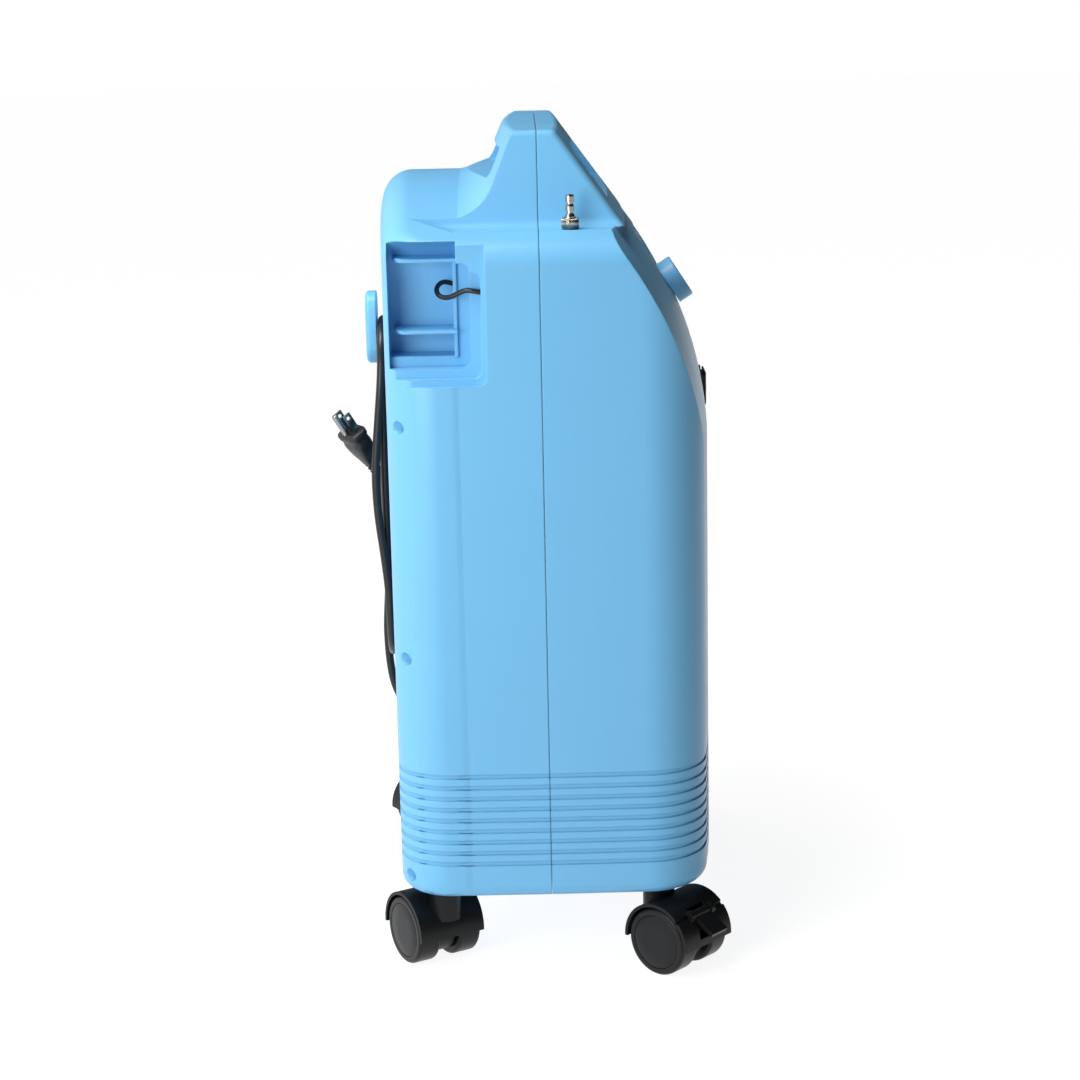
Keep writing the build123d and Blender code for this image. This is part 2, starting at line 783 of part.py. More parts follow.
def casters():
    nodes = {}
    for name, (turn, has_brake) in caster_turns.items():
        x = caster_x if name.startswith("front") else -caster_x
        y = caster_y if name.endswith("far") else -caster_y
        place = Pos(x, y, 0) * Rot(0, 0, turn)
        nodes[f"caster_hood_{name}"] = place * caster_hood(has_brake)
        nodes[f"caster_pins_{name}"] = Compound([place * pin for pin in caster_pins()])
        nodes[f"wheel_a_{name}"] = place * wheel(-1)
        nodes[f"wheel_b_{name}"] = place * wheel(1)
        if has_brake:
            nodes[f"brake_lever_{name}"] = place * brake_lever()
    return nodes


def flow_control():
    """Knob on its shaft, and the valve body that screws up behind the fascia."""
    panel = fascia_plane(0)
    outward = Vector(panel.z_dir)
    inward = -outward
    base = fascia_plane(0, knob_gap).origin
    cap = Plane(origin=base, z_dir=outward, x_dir=(0, 1, 0))
    knob = cap * Cylinder(knob_radius, knob_height, align=(Align.CENTER, Align.CENTER, Align.MIN))
    face_edge = knob.edges().sort_by(Axis(base, outward))[-1]
    knob = fillet(face_edge, 1.2)
    dish = fascia_plane(0, knob_gap + knob_height - 1.0)
    knob = knob - dish * Cylinder(knob_radius - 3.2, 4, align=(Align.CENTER, Align.CENTER, Align.MIN))
    bar = dish * Pos(0, 0, -0.5) * Box(2 * knob_radius - 8, 4.5, 1.5,
                                       align=(Align.CENTER, Align.CENTER, Align.MIN))
    shaft = rod(base, inward, valve_shaft_radius, knob_gap + 22)
    knob = knob + bar + shaft
    body = rod(fascia_plane(0, -panel_wall - 1).origin, inward, valve_body_radius, valve_body_depth)
    bush = rod(fascia_plane(0, -0.6).origin, inward, valve_bush_radius, panel_wall + 2)
    bore = rod(fascia_plane(0, 4).origin, inward, valve_shaft_radius + shaft_clearance, 30)
    valve = body + bush - bore
    back_wall = fascia_plane(0, -panel_wall - 1).origin
    return knob, valve, back_wall


def display_parts():
    """Bezel frame pressed into its window, the clear window and the key caps."""
    outer = display_window_block(0.15) & slab(-10, -0.2)
    opening = display_window_block(display_wall + 0.15)
    bezel = outer - opening
    window = (display_window_block(display_wall + 0.15)) & slab(-4, -display_recess - 0.2)
    keys = []
    for y in (-key_spread, key_spread):
        cap = key_block(y, 0, -4.0, key_proud)
        stem = rod(offset_point(y, -4.0), -Vector(fascia_plane(0).z_dir), key_stem_radius, 3.0)
        keys.append(cap + stem)
    return bezel, window, keys


def offset_point(y, out):
    plane = fascia_plane(display_rise, out)
    return (plane * Pos(y, 0, 0)).position


def slab(out0, out1):
    """Everything between two depths about the fascia."""
    return extrude(fascia_plane(0, out0) * Rectangle(400, 400), amount=out1 - out0)


def key_carrier():
    """Small board bracket behind the fascia that the keys press on."""
    plate = extrude(fascia_plane(display_rise, -12.6) * Rectangle(126, 20), amount=2.0)
    room = inner_space()
    for y in (-key_spread + 14, key_spread - 14):
        post = rod(offset_point(y, -10.7), Vector(fascia_plane(0).z_dir), 3.0, 20)
        plate = plate + (post & room)
    cups = []
    for y in (-key_spread, key_spread):
        cup = rod(offset_point(y, -10.6), Vector(fascia_plane(0).z_dir), key_stem_radius + 2, 3.4)
        bore = rod(offset_point(y, -10.0), Vector(fascia_plane(0).z_dir), key_stem_radius + 0.1, 6)
        cups.append(cup - bore)
    return plate + cups


def power_switch():
    """Snap-in frame and the rocker that tips in it."""
    half_y = rocker_half_width + rocker_clearance
    half_z = rocker_height / 2 + rocker_clearance
    lip = 3.0
    shell = rocker_block(-0.1, 16) & box_between(0, front_x + 0.2, -60, 60, 300, 500)
    flange = box_between(
        front_x + 0.1, front_x + rocker_frame_proud, -half_y - lip, half_y + lip,
        rocker_z - half_z - lip, rocker_z + half_z + lip)
    frame = shell + flange
    frame = frame - rocker_block(-rocker_frame_wall, 13)
    inner_z = half_z - rocker_frame_wall - rocker_clearance
    inner_y = half_y - rocker_frame_wall - rocker_clearance
    pivot_x = front_x - 5.5
    profile = make_face(Polyline(
        (pivot_x - 3, rocker_z - inner_z * 0.75), (pivot_x + 6.0, rocker_z - inner_z * 0.86),
        (pivot_x + 7.4, rocker_z), (pivot_x + 6.0, rocker_z + inner_z * 0.86),
        (pivot_x - 3, rocker_z + inner_z * 0.75), close=True))
    rocker = extrude(Plane.XZ * profile, amount=inner_y, both=True)
    studs = rod((pivot_x, -inner_y - 1.4, rocker_z), (0, 1, 0), 1.5, 2 * inner_y + 2.8)
    rocker = rocker + studs
    rocker = rocker.rotate(Axis((pivot_x, 0, rocker_z), (0, 1, 0)), rocker_tilt)
    frame = frame - rod((pivot_x, -inner_y - 1.9, rocker_z), (0, 1, 0), 1.58, 2 * inner_y + 3.8)
    return frame, rocker, (pivot_x, 0, rocker_z)


def breaker():
    """Reset button of the circuit breaker in its bezel."""
    wall_x = front_x - breaker_y ** 2 / (2 * front_crown_radius)
    barrel = rod((wall_x + 0.3, breaker_y, rocker_z), (-1, 0, 0), breaker_bezel_radius - 2.1, 24)
    flange = rod((wall_x + 0.2, breaker_y, rocker_z), (1, 0, 0), breaker_bezel_radius, 1.6)
    bore = rod((wall_x + 6, breaker_y, rocker_z), (-1, 0, 0), breaker_radius + 0.1, 16)
    body = barrel + flange - bore
    button = rod((wall_x + 1.8 + breaker_proud, breaker_y, rocker_z), (-1, 0, 0), breaker_radius, 8.5)
    front_edge = button.edges().sort_by(Axis.X)[-1]
    button = fillet(front_edge, 0.8)
    return body, button


def outlet():
    """Hexagonal nut on the ledge and the barbed nipple that stands in it."""
    flat_radius = nut_across_flats / sqrt(3)
    nut = extrude(RegularPolygon(flat_radius, 6), amount=nut_height)
    nut = nut - Cylinder(nipple_radius + 1.5, 60)
    nut = Pos(outlet_x, -outlet_y, ledge_z) * nut
    r = nipple_radius
    b = nipple_barb_radius
    top = nipple_top_z - ledge_z
    profile = make_face(Polyline(
        (0, -nipple_stem_depth), (r + 1.5, -nipple_stem_depth), (r + 1.5, nut_height + 0.6),
        (r + 0.2, nut_height + 3.0), (r, nut_height + 3.0), (r, nut_height + 4.5),
        (b, nut_height + 4.5), (b, nut_height + 7.5), (r, nut_height + 9.2), (r, nut_height + 10.5),
        (b, nut_height + 10.5), (b, top - 1.2), (r + 0.1, top), (0, top), close=True))
    nipple = revolve(Plane.XZ * profile, Axis.Z)
    nipple = nipple - Cylinder(1.4, 100)
    return nut, Pos(outlet_x, -outlet_y, ledge_z) * nipple


def cord_hook():
    """Tab that stands off the back wall on a flat post, for the wound-up cord."""
    tab_front_x = hook_tab_back_x + hook_tab_thickness
    height = hook_tab_top_z - hook_tab_foot_z
    tab = RectangleRounded(2 * hook_tab_half, height, hook_tab_half - 1)
    middle_z = (hook_tab_top_z + hook_tab_foot_z) / 2
    tab = extrude(Plane.YZ.offset(hook_tab_back_x) * Pos(0, middle_z) * tab, amount=hook_tab_thickness)
    tab = fillet([e for e in tab.edges() if abs(e.center().X - hook_tab_back_x) < 0.01], 3.0)
    post_height = hook_post_top_z - hook_post_foot_z
    post = RectangleRounded(2 * hook_post_half, post_height, 4.5)
    post_z = (hook_post_top_z + hook_post_foot_z) / 2
    post = extrude(Plane.YZ.offset(tab_front_x - 2) * Pos(0, post_z) * post,
                   amount=back_x - tab_front_x + 2)
    hook = tab + post
    for y in (-hook_screw_y, hook_screw_y):
        hook = hook - rod((back_x - 7, y, post_z), (1, 0, 0), screw_shank_radius, 12)
    return hook


def filter_parts():
    """Slatted door in the back wall and the foam pad behind it."""
    door = plan_block(0, 200, 400) & filter_opening(-filter_clearance, casing_wall)
    half_y = filter_half_width - filter_frame
    pitch = (2 * (filter_half_height - filter_frame) - slat_gap) / (slat_count - 1)
    low = filter_z - filter_half_height + filter_frame
    for i in range(slat_count):
        z = low + i * pitch
        door = door - box_between(
            back_x - 20, back_x + 20, filter_y - half_y, filter_y + half_y, z, z + slat_gap)
    pad = box_between(
        back_x + casing_wall + 3.6, back_x + filter_depth + 2.0,
        filter_y - filter_half_width + filter_clearance,
        filter_y + filter_half_width - filter_clearance,
        filter_z - filter_half_height + filter_clearance,
        filter_z + filter_half_height - filter_clearance)
    return door, pad


def cord_path(points, radii_share=0.45):
    """Straight runs joined by arcs, each as large as its two runs allow."""
    path_points = [Vector(*p) for p in points]
    radii = []
    for before, here, after in zip(path_points, path_points[1:], path_points[2:]):
        run_in = here - before
        run_out = after - here
        turn = radians(run_in.get_angle(run_out))
        radii.append(radii_share * min(run_in.length, run_out.length) / tan(turn / 2))
    print("arc radii", [round(r, 1) for r in radii])
    return FilletPolyline(*path_points, radius=radii)


def cord_tube(points, radius):
    path = cord_path(points)
    start = Plane(origin=path @ 0, z_dir=path % 0)
    tube = sweep(start * Circle(radius), path)
    print("tube volume against section times length",
          round(tube.volume / (pi * radius ** 2 * path.length), 4), "length", round(path.length, 1))
    return tube


def strain_relief():
    """Flanged rubber sleeve on the floor of the bay, through which the cord leaves upwards."""
    flange = Cylinder(gland_radius + 2, 2, align=(Align.CENTER, Align.CENTER, Align.MIN))
    sleeve = Cone(gland_radius, cord_radius + 1.3, gland_height,
                  align=(Align.CENTER, Align.CENTER, Align.MIN))
    return Pos(gland_x, gland_y, gland_bay_foot_z) * (flange + sleeve)


# The cord's route, in the casing's layout frame: up from the bay to the foot of the hank ...
lead_route = [
    (gland_x, gland_y, gland_bay_foot_z + gland_height), (gland_x, 30, 130), (-112, 29.5, 147),
    (-118.6, 28.5, 163), (-120.5, 27.5, 181), (-120.5, 27, 199), (-120.5, 26.2, 214),
]
# ... and from the hank to the back of the plug, which is tucked in beside it.
tail_route = [
    (-121, -26, 252), (-121, -20, 268), (-120.5, -11, 284), (-120, -4, 302), (-120.2, -2, 319),
    (-121.2, -3.8, 335.5), (-129, -9, 350),
]
tether_route = [
    (-58, -135, 498.4), (-63, -136, 500.6), (-68, -139.5, 500.6), (-71.2, -146, 497),
    (-69.4, -151.5, 493), (-64.5, -155, 491.7), (-59.5, -158, 493.2), (-54.3, -160.3, 496.2),
    (-49.4, -162.5, 497.9), (-45, -163.8, 497.2), (-39.6, -164, 496.2),
]
hank_half = 38.0
hank_foot_z = 198.0
hank_band = 17.7
hank_thickness = 7.2
hank_swell = 6.2
hank_swell_top_z = 415.0
hank_rest_gap = 0.8


def cord_hank():
    """The wound cord as one closed ring that hangs over the hook's post."""
    top = hook_post_top_z + hank_rest_gap + hank_band
    height = top - hank_foot_z
    middle = (top + hank_foot_z) / 2
    outer = RectangleRounded(2 * hank_half, height, hank_half - 0.1)
    inner_half = hank_half - hank_band
    inner = RectangleRounded(2 * inner_half, height - 2 * hank_band, inner_half - 0.1)
    front = back_x - 0.8
    ring = extrude(Plane.YZ.offset(front) * Pos(0, middle) * (outer - inner),
                   amount=-(hank_thickness + hank_swell))
    trim = box_between(front - 40, front - hank_thickness, -80, 80, hank_swell_top_z, top + 20)
    return ring - trim


def plug_parts():
    """Moulded plug with two flat blades and a round ground pin."""
    start = Vector(*tail_route[-1])
    axis = (start - Vector(*tail_route[-2])).normalized()
    frame = Plane(origin=start, z_dir=axis, x_dir=Vector(axis.Y, -axis.X, 0).normalized())
    foot = frame * Pos(0, 0, 0) * RectangleRounded(10, 9, 4.4)
    shoulder = frame * Pos(0, 0, plug_length * 0.5) * RectangleRounded(
        1.7 * plug_half_width, 1.7 * plug_half_depth, 6)
    face = frame * Pos(0, 0, plug_length) * RectangleRounded(
        2 * plug_half_width, 2 * plug_half_depth, 7)
    body = loft([foot, shoulder, face], ruled=True)
    blades = []
    for side in (-1, 1):
        blade = Box(blade_thickness, blade_width, blade_length + 6,
                    align=(Align.CENTER, Align.CENTER, Align.MIN))
        blade = blade - Pos(0, 0, blade_length + 2.5) * Rot(0, 90, 0) * Cylinder(1.6, 8)
        blades.append(frame * Pos(side * blade_spread, -1.5, plug_length - 6) * blade)
    pin = frame * Pos(0, 4.2, plug_length - 6) * Cylinder(
        ground_pin_radius, ground_pin_length + 6, align=(Align.CENTER, Align.CENTER, Align.MIN))
    pin = fillet(pin.edges().sort_by(Axis(start, axis))[-1], 1.6)
    blades.append(pin)
    for blade in blades:
        body = body - blade
    return body, Compound(blades)


def chassis():
    """Bent sheet tray: floor, two uprights and the flanges that carry the shelf."""
    foot = chassis_foot_z
    top = shelf_z
    tray = box_between(
        -chassis_half_x, chassis_half_x, -chassis_half_y, chassis_half_y, foot,
        foot + chassis_sheet)
    for side in (-1, 1):
        y = side * upright_y
        inner = y - side * upright_sheet
        tray = tray + box_between(-upright_half_x, upright_half_x, inner, y, foot, top)
        tray = tray + box_between(
            -upright_half_x, upright_half_x, y - side * 18, y, top - upright_sheet, top)
    for x in (-caster_x, caster_x):
        for y in (-caster_y, caster_y):
            tray = tray - rod((x, y, 40), (0, 0, 1), socket_radius + hole_clearance, 60)
    for row in screw_rows[2:]:
        for side in (-1, 1):
            y, z = screw_line(row, side)
            clear = screw_bore_radius + screw_tower_wall + 1
            tray = tray - box_between(
                -chassis_half_x - 1, screw_boss_end_x + 1, y - clear, y + clear, foot - 1,
                foot + 30)
            tray = tray - box_between(
                -chassis_half_x - 1, screw_boss_end_x + 1, y, side * 200, foot - 1, foot + 30)
    return tray


def mid_shelf():
    """Level shelf that carries the fan, tank and valves over the compressor."""
    z = shelf_z
    shelf = box_between(
        -shelf_half_x, shelf_half_x, -upright_y, upright_y, z, z + shelf_sheet)
    shelf = shelf - Pos(0, compressor_y, z) * Cylinder(fan_bore, 20)
    for i in range(4):
        x = board_x + (board_half_x - 6) * (1 if i % 2 else -1)
        y = board_y + (board_half_y - 6) * (1 if i // 2 else -1)
        shelf = shelf + rod((x, y, z + shelf_sheet), (0, 0, 1), 3, board_standoff)
    return shelf


def compressor():
    """Crankcase with a motor end, two finned heads and four rubber feet."""
    floor = chassis_foot_z + chassis_sheet
    base = floor + mount_height
    feet = []
    for sx in (-1, 1):
        for sy in (-1, 1):
            feet.append(rod((sx * compressor_pitch_x, compressor_y + sy * compressor_pitch_y, floor),
                            (0, 0, 1), mount_radius, mount_height))
    plate = box_between(-crankcase_half_x, crankcase_half_x,
                        compressor_y - compressor_pitch_y - 12, compressor_y + compressor_pitch_y + 12,
                        base, base + 6)
    case = box_between(-crankcase_half_x + 10, crankcase_half_x - 10,
                       compressor_y - crankcase_half_y, compressor_y + crankcase_half_y,
                       base + 6, base + 6 + crankcase_height)
    axis_z = base + 6 + crankcase_height / 2
    motor = rod((0, compressor_y - crankcase_half_y - motor_length / 2, axis_z), (0, 1, 0),
                motor_radius, motor_length / 2 + 2 * crankcase_half_y + motor_length / 2)
    body = plate + case + motor
    heads = []
    top = base + 6 + crankcase_height
    for side in (-1, 1):
        y = compressor_y + side * (crankcase_half_y - 4) * 0.6
        barrel = rod((side * 12, y, top), (0, 0, 1), head_radius * 0.55, head_height)
        for i in range(head_fin_count):
            z = top + 6 + i * (head_height - 12) / (head_fin_count - 1)
            barrel = barrel + rod((side * 12, y, z), (0, 0, 1), head_radius * 0.72, 2)
        heads.append(barrel)
    return body, Compound(heads), Compound(feet)


def sieve_beds():
    floor = chassis_foot_z + chassis_sheet
    beds = []
    for x in (-bed_x, bed_x):
        tube = rod((x, bed_y, floor), (0, 0, 1), bed_radius, bed_height)
        cap = rod((x, bed_y, floor + bed_height - 10), (0, 0, 1), bed_radius + 2, 8)
        port = rod((x, bed_y, floor + bed_height), (0, 0, 1), 5, 8)
        beds.append(tube + cap + port)
    return Compound(beds)


def product_tank():
    top = shelf_z + shelf_sheet
    tank = rod((tank_x, tank_y, top), (0, 0, 1), tank_radius, tank_height)
    tank = fillet(tank.edges(), 8)
    return tank + rod((tank_x, tank_y, top + tank_height - 1), (0, 0, 1), 4, 11)


def valve_block():
    """Manifold of the switching valves, with a coil on each valve."""
    top = shelf_z + shelf_sheet
    pitch = 22.0
    length = pitch * coil_count
    block = box_between(manifold_x - 14, manifold_x + 14, manifold_y - length / 2 + 8,
                        manifold_y + length / 2 - 8 - 30, top, top + 26)
    coils = []
    for i in range(coil_count):
        x = manifold_x
        y = manifold_y - length / 2 + 12 + i * (length - 16 - 30 - 8) / (coil_count - 1)
        coils.append(rod((x, y, top + 26), (0, 0, 1), 5.5, 24))
    return block, Compound(coils)


def fan_parts():
    """Square fan frame with its spider and pin, and the bladed rotor on the pin."""
    z = shelf_z + shelf_sheet
    mid = z + fan_depth / 2
    frame = Pos(0, compressor_y, mid) * Box(2 * fan_half, 2 * fan_half, fan_depth)
    corner_edges = frame.edges().filter_by(Axis.Z)
    frame = fillet(corner_edges, 6) - Pos(0, compressor_y, mid) * Cylinder(fan_bore, fan_depth + 2)
    spider_z = z + 2
    for turn in (0, 90):
        bar = Pos(0, compressor_y, spider_z) * Rot(0, 0, turn + 45) * Box(2 * fan_bore + 2, 6, 4)
        frame = frame + bar
    frame = frame + rod((0, compressor_y, z), (0, 0, 1), fan_hub_radius, 4)
    frame = frame + rod((0, compressor_y, z + 3), (0, 0, 1), fan_pin_radius, fan_depth - 8)
    hub_foot = z + 4.4
    hub_height = fan_depth - 7
    hub = rod((0, compressor_y, hub_foot), (0, 0, 1), fan_hub_radius, hub_height)
    blade_length = fan_blade_reach - fan_hub_radius + 3
    for i in range(fan_blade_count):
        blade = Pos(fan_hub_radius - 3 + blade_length / 2, 0, 0) * Rot(38, 0, 0) * Box(
            blade_length, 26, 1.8)
        place = Pos(0, compressor_y, hub_foot + hub_height / 2)
        hub = hub + place * Rot(0, 0, i * 360 / fan_blade_count) * blade
    hub = hub - rod((0, compressor_y, hub_foot - 1), (0, 0, 1), fan_pin_radius + 0.08,
                    fan_depth - 7.5)
    return frame, hub


def cooling_coil():
    """Stacked rings of aluminium tube over the fan, joined by an upright header."""
    z = shelf_z + shelf_sheet + fan_depth
    coil = rod((cooler_ring_radius, compressor_y, z), (0, 0, 1), cooler_tube_radius + 1.5,
               2 * cooler_turns * (cooler_tube_radius + 1))
    for i in range(cooler_turns):
        ring_z = z + cooler_tube_radius + 0.5 + i * 2 * (cooler_tube_radius + 1)
        coil = coil + Pos(0, compressor_y, ring_z) * Torus(cooler_ring_radius, cooler_tube_radius)
    return coil


def control_board():
    z = shelf_z + shelf_sheet + board_standoff
    board = box_between(board_x - board_half_x, board_x + board_half_x, board_y - board_half_y,
                        board_y + board_half_y, z, z + board_sheet)
    top = z + board_sheet
    board = board + box_between(board_x - 38, board_x - 12, board_y - 20, board_y + 10, top, top + 24)
    for i in range(3):
        board = board + rod((board_x + 2 + i * 15, board_y - 12, top), (0, 0, 1), 6, 20)
    return board + box_between(board_x, board_x + 36, board_y + 6, board_y + 20, top, top + 9)


def all_nodes():
    nodes = {}
    nodes["rear_casing"], nodes["front_casing"] = casing_halves()
    nodes["casing_screws"] = casing_screws()
    nodes["caster_sockets"] = caster_sockets()
    nodes.update(casters())
    nodes["flow_knob"], nodes["flow_valve_body"], _ = flow_control()
    nodes["display_bezel"], nodes["display_window"], keys = display_parts()
    nodes["key_near"], nodes["key_far"] = keys
    nodes["key_bracket"] = key_carrier()
    nodes["rocker_frame"], nodes["power_rocker"], _ = power_switch()
    nodes["breaker_body"], nodes["breaker_button"] = breaker()
    nodes["outlet_nut"], nodes["outlet_nipple"] = outlet()
    nodes["cord_hook"] = cord_hook()
    nodes["filter_door"], nodes["filter_pad"] = filter_parts()
    nodes["cord_gland"] = strain_relief()
    nodes["power_cord_lead"] = cord_tube(lead_route, cord_radius)
    nodes["power_cord_hank"] = cord_hank()
    nodes["power_cord_tail"] = cord_tube(tail_route, cord_radius)
    nodes["plug_body"], nodes["plug_blades"] = plug_parts()
    nodes["tether_cord"] = cord_tube(tether_route, tether_radius)
    nodes["chassis_tray"] = chassis()
    nodes["mid_shelf"] = mid_shelf()
    nodes["compressor_body"], nodes["compressor_heads"], nodes["compressor_feet"] = compressor()
    nodes["sieve_beds"] = sieve_beds()
    nodes["product_tank"] = product_tank()
    nodes["valve_manifold"], nodes["valve_coils"] = valve_block()
    nodes["fan_frame"], nodes["fan_rotor"] = fan_parts()
    nodes["cooling_coil"] = cooling_coil()
    nodes["control_board"] = control_board()
    return nodes


cord_nodes = ("power_cord_lead", "power_cord_hank", "power_cord_tail", "plug_body", "plug_blades")


def footprint_middle(nodes):
    boxes = [shape.bounding_box() for name, shape in nodes.items() if name not in cord_nodes]
    x = (min(b.min.X for b in boxes) + max(b.max.X for b in boxes)) / 2
    y = (min(b.min.Y for b in boxes) + max(b.max.Y for b in boxes)) / 2
    return x, y


if __name__ == "__main__":
    os.makedirs("parts", exist_ok=True)
    nodes = all_nodes()
    x, y = footprint_middle(nodes)
    print("layout frame to model frame:", round(-x, 4), round(-y, 4))
    for name, shape in nodes.items():
        export_step(Pos(-x, -y, 0) * shape, f"parts/{name}.step")
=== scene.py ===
import json
import math
import bpy
import bmesh
from mathutils import Matrix, Vector


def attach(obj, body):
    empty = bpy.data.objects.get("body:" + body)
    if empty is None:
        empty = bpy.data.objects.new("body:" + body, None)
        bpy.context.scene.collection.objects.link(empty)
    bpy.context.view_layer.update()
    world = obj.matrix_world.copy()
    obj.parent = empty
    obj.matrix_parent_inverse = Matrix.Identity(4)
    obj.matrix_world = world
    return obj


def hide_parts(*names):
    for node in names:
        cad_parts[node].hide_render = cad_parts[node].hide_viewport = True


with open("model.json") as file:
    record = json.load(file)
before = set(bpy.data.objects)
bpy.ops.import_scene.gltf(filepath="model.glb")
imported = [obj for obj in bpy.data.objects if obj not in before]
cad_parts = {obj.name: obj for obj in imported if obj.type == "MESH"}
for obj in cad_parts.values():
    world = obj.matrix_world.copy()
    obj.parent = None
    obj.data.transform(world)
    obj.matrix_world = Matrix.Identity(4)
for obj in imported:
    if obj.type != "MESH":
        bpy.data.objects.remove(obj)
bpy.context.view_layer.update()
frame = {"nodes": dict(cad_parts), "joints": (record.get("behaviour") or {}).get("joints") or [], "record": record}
nodes = frame["nodes"]
joints = {joint["name"]: joint for joint in frame["joints"]}
mm = 0.001
layoutShift = 0.742 * mm    # the casing's seam stands this far in front of the model's middle


cameraView = {
    "place": (-0.01126, -1.793, 0.708),
    "pitchDown": 13.3,      # degrees
    "yaw": 0.3,             # towards the front of the machine
    "roll": 1.2,
    "lens": 80.33,          # mm, over a sensor this wide
    "sensor": 36,
    "clip": (0.05, 60),     # m
}


def placeCamera(view):
    pitch, yaw, roll = (math.radians(view[key]) for key in ("pitchDown", "yaw", "roll"))
    forward = Vector((
        math.sin(yaw) * math.cos(pitch), math.cos(yaw) * math.cos(pitch), -math.sin(pitch)))
    right = forward.cross(Vector((0, 0, 1))).normalized()
    up = right.cross(forward)
    turnedRight = right * math.cos(roll) - up * math.sin(roll)
    turnedUp = right * math.sin(roll) + up * math.cos(roll)
    data = bpy.data.cameras.new("studioCamera")
    data.lens = view["lens"]
    data.sensor_width = view["sensor"]
    data.clip_start, data.clip_end = view["clip"]
    camera = bpy.data.objects.new("studioCamera", data)
    axes = Matrix((turnedRight, turnedUp, -forward)).transposed()
    camera.matrix_world = Matrix.Translation(view["place"]) @ axes.to_4x4()
    bpy.context.scene.collection.objects.link(camera)
    bpy.context.scene.camera = camera


placeCamera(cameraView)
print("camera placed")


def toLinear(colour):
    channels = [int(colour[i:i + 2], 16) / 255 for i in (1, 3, 5)]
    return [c / 12.92 if c <= 0.04045 else ((c + 0.055) / 1.055) ** 2.4 for c in channels] + [1]


def addNode(tree, kind, settings=None, links=None):
    node = tree.nodes.new(kind)
    for name, value in (settings or {}).items():
        if isinstance(name, int) or name in node.inputs:
            node.inputs[name].default_value = value
        else:
            setattr(node, name, value)
    for name, source in (links or {}).items():
        tree.links.new(source, node.inputs[name])
    return node


def addPiece(name, data, material=None):
    piece = bpy.data.objects.new(name, data)
    bpy.context.scene.collection.objects.link(piece)
    if material is not None:
        data.materials.append(material)
    return piece


def bakedMesh(piece):
    # the mesh a curve, a text or a modifier comes to
    depsgraph = bpy.context.evaluated_depsgraph_get()
    return bpy.data.meshes.new_from_object(piece.evaluated_get(depsgraph), depsgraph=depsgraph)


def meshFrom(name, shape, smooth=True):
    mesh = bpy.data.meshes.new(name)
    shape.to_mesh(mesh)
    shape.free()
    for face in mesh.polygons:
        face.use_smooth = smooth
    return mesh


powerCord = {
    "diameter": 6.2 * mm,
    # from the top of the sleeve in the bay up to the foot of the hank, in the casing's layout, mm
    "lead": [
        (-104.5, 30, 114), (-104.5, 30, 130), (-112, 29.5, 147), (-119.2, 28.5, 163),
        (-122, 28, 181), (-123, 28.5, 199), (-123.2, 30, 214),
    ],
    "turns": 3,
    "outerHalf": 34.8,              # widest turn, middle of the cord to the hook's middle
    "turnStep": 6.3,                # each next turn lies inside the last
    "crownZ": 456.2,                # top of the widest turn
    "footZ": 201.6,                 # bottom of the widest turn
    "restX": -116.5,                # turns lie against the back wall
    "hookX": -117.0,
    "footSlack": 0.4,               # each next foot hangs this much higher than the step alone
    "firstBack": 4.0,               # the widest turn lies behind the others on the far side
    "swell": (7.5, 0.6, 1.2),       # slack makes the widest turn belly outwards
    "spread": (0, 1.6, 0.8),        # and the others part sideways
    # from the hank to the back of the plug
    "tail": [
        (-117.5, 17.5, 236), (-119.5, 16.5, 252), (-120.8, 13, 268), (-120.8, 8, 284), (-120, 3, 302),
        (-120.2, -1.5, 319), (-121.2, -3.8, 335.5), (-129, -9, 350),
    ],
}


def turnPoints(cord, turn):
    # one turn of the hank: up the far side, over the hook's post, down the near side, round the foot
    half = cord["outerHalf"] - turn * cord["turnStep"]
    nextHalf = half - cord["turnStep"]
    crown = cord["crownZ"] - turn * cord["turnStep"]
    foot = cord["footZ"] + turn * (cord["turnStep"] + cord["footSlack"])
    swell, spread = cord["swell"][turn], cord["spread"][turn]
    points = []
    farX = cord["restX"] - (cord["firstBack"] if turn == 0 else 0)
    for share in (0.12, 0.4, 0.7) if turn == 0 else (0.03, 0.25, 0.5, 0.76):
        z = foot + half + share * (crown - half - foot - half)
        points.append((farX + (cord["hookX"] - farX) * share, half + spread * math.sin(math.pi * share), z))
    # control points stand a little outside the arc that they draw
    reach = half / math.cos(math.radians(22.5)) ** 0.98
    for angle in range(0, 181, 45):
        turnAngle = math.radians(angle)
        points.append((
            cord["hookX"], reach * math.cos(turnAngle), crown - half + reach * math.sin(turnAngle)))
    for share in (0.8, 0.6, 0.42, 0.26, 0.1):
        z = foot + half + share * (crown - half - foot - half)
        belly = swell * math.sin(math.pi * min(1, (1 - share) * 1.12)) ** 1.5
        points.append((cord["hookX"] - belly, -half - 0.25 * belly, z))
    middleHalf = (half + nextHalf) / 2
    shift = (half - nextHalf) / 2
    reach = middleHalf / math.cos(math.radians(22.5))
    for angle in range(180, 361, 45):
        turnAngle = math.radians(angle)
        points.append((
            cord["restX"], -shift + reach * math.cos(turnAngle),
            foot + middleHalf + reach * math.sin(turnAngle)))
    return points


def inMetres(points):
    return [Vector((x * mm + layoutShift, y * mm, z * mm)) for x, y, z in points]


def cordCurve(name, points, diameter):
    data = bpy.data.curves.new(name, "CURVE")
    data.dimensions = "3D"
    data.resolution_u = 14
    data.bevel_depth = diameter / 2
    data.bevel_resolution = 6
    data.use_fill_caps = True
    spline = data.splines.new("NURBS")
    spline.points.add(len(points) - 1)
    for slot, point in zip(spline.points, points):
        slot.co = (*point, 1)
    spline.order_u = 3
    spline.use_endpoint_u = True
    return addPiece(name, data)


